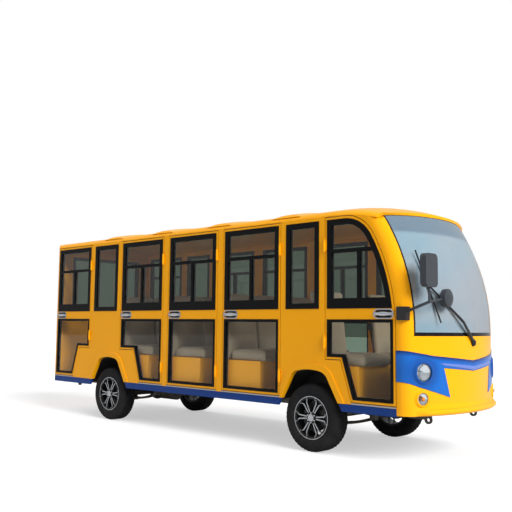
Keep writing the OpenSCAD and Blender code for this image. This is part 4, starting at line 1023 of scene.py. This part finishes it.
sill = {"runs": ((-2.673, -2.271), (-0.953, -0.553), (-0.478, 0.297), (0.372, 1.147), (1.949, 2.387)),
        "low": 0.4555, "high": 0.4668, "proud": 0.003, "skin": 0.760,
        "section": ((0, 0), (0.7, 0), (1, 0.25), (1, 0.75), (0.7, 1), (0, 1))}


def strip(name, x0, x1, side):
    tall = sill["high"] - sill["low"]
    verts = [(x, side * (sill["skin"] + sill["proud"] * out), sill["low"] + tall * up)
             for x in (x0, x1) for out, up in sill["section"]]
    faces = flipped(tubeFaces(2, len(sill["section"])), side > 0)
    addMesh(name, verts, faces, "steelStrip", "chassis", "wheel_alloy", smooth=False)


for number, (x0, x1) in enumerate(sill["runs"]):
    strip(f"sillStrip.right.{number}", x0, x1, -1)
strip("sillStrip.left.0", *sill["runs"][-1], 1)
print("sill strips made")


# camera, floor and light

view = {"place": (5.6056, -5.8588, 1.1083), "yaw": 43.145, "pitch": 5.51, "roll": 0.616, "lens": 50.98,
        "sensor": 36, "far": 200}


def addCamera():
    a, p, r = (math.radians(view[k]) for k in ("yaw", "pitch", "roll"))
    ahead = Vector((-math.sin(a) * math.cos(p), math.cos(a) * math.cos(p), math.sin(p)))
    side = Vector((math.cos(a), math.sin(a), 0))
    up = side.cross(ahead)
    right = side * math.cos(r) + up * math.sin(r)
    top = right.cross(ahead)
    data = bpy.data.cameras.new("photoCamera")
    data.lens = view["lens"]
    data.sensor_width = view["sensor"]
    data.clip_end = view["far"]
    camera = bpy.data.objects.new("photoCamera", data)
    camera.matrix_world = Matrix((right, top, -ahead)).transposed().to_4x4()
    camera.location = view["place"]
    scene.collection.objects.link(camera)
    scene.camera = camera


addCamera()


ground = {"half": 60.0, "tone": (0.55, 0.55, 0.55, 1), "rough": 0.9, "specular": 0.1, "lift": 0.5}


def seenRays(tree):  # light path, and one where the camera looks straight or through glass
    path = node(tree, "ShaderNodeLightPath").outputs
    return path, mathNode(tree, "ADD", path["Is Camera Ray"], path["Is Transmission Ray"], clamp=True)


def addFloor():  # lifted in tone where it is seen, so that it stays pale
    half = ground["half"]
    data = bpy.data.meshes.new("studioFloor")
    data.from_pydata([(-half, -half, 0), (half, -half, 0), (half, half, 0), (-half, half, 0)], [], [(0, 1, 2, 3)])
    floor = bpy.data.objects.new("studioFloor", data)
    scene.collection.objects.link(floor)
    material, tree, shader, surface = newMaterial("studioFloor")
    setInputs(shader, {"Base Color": ground["tone"], "Roughness": ground["rough"],
                       "Specular IOR Level": ground["specular"]})
    lift = node(tree, "ShaderNodeEmission")
    feed(lift.inputs["Strength"], mathNode(tree, "MULTIPLY", seenRays(tree)[1], ground["lift"]))
    feed(surface, node(tree, "ShaderNodeAddShader", shader.outputs[0], lift.outputs[0]).outputs[0])
    data.materials.append(material)


addFloor()


sky = {"fill": 0.36, "fillColour": (0.95, 0.97, 1.0, 1), "seen": 1.0, "seenColour": (1, 1, 1, 1), "mirrorLow": 0.52,
       "mirrorHigh": 0.9, "mirrorTop": 0.8, "mirrorColour": (0.8, 0.8, 0.8, 1)}


def addSky():  # even fill light, plain white where the background is seen, softer in reflections
    world = bpy.data.worlds.new("studioSky")
    scene.world = world
    world.use_nodes = True
    tree = world.node_tree
    tree.nodes.clear()
    height = ramp(tree, axesOf(tree, "Generated")["Z"], 0.0, sky["mirrorTop"])
    rise = mathNode(tree, "MULTIPLY_ADD", height, sky["mirrorHigh"] - sky["mirrorLow"], sky["mirrorLow"])
    fill, seen, mirrored = (node(tree, "ShaderNodeBackground", sky[colour], strength).outputs[0] for colour, strength
                            in (("fillColour", sky["fill"]), ("seenColour", sky["seen"]), ("mirrorColour", rise)))
    path, either = seenRays(tree)
    shown = node(tree, "ShaderNodeMixShader", either, fill, seen).outputs[0]
    both = node(tree, "ShaderNodeMixShader", path["Is Glossy Ray"], shown, mirrored).outputs[0]
    node(tree, "ShaderNodeOutputWorld", both)


addSky()

suns = {"frontSun": dict(aim=(-0.85, 0.12, -0.51), strength=4.5, angle=35.0),
        "sideSun": dict(aim=(0.05, 0.72, -0.69), strength=0.3, angle=50.0),
        "rearSun": dict(aim=(0.8, -0.15, -0.58), strength=0.9, angle=60.0)}
sunHeight = 8
for sunName, facts in suns.items():
    light = bpy.data.lights.new(sunName, "SUN")
    light.energy = facts["strength"]
    light.angle = math.radians(facts["angle"])
    lamp = bpy.data.objects.new(sunName, light)
    lamp.rotation_euler = Vector(facts["aim"]).to_track_quat("-Z", "Y").to_euler()
    lamp.location.z = sunHeight
    lamp.visible_glossy = False
    lamp.visible_transmission = False
    scene.collection.objects.link(lamp)

scene.view_settings.view_transform = "Standard"
print("studio ready")
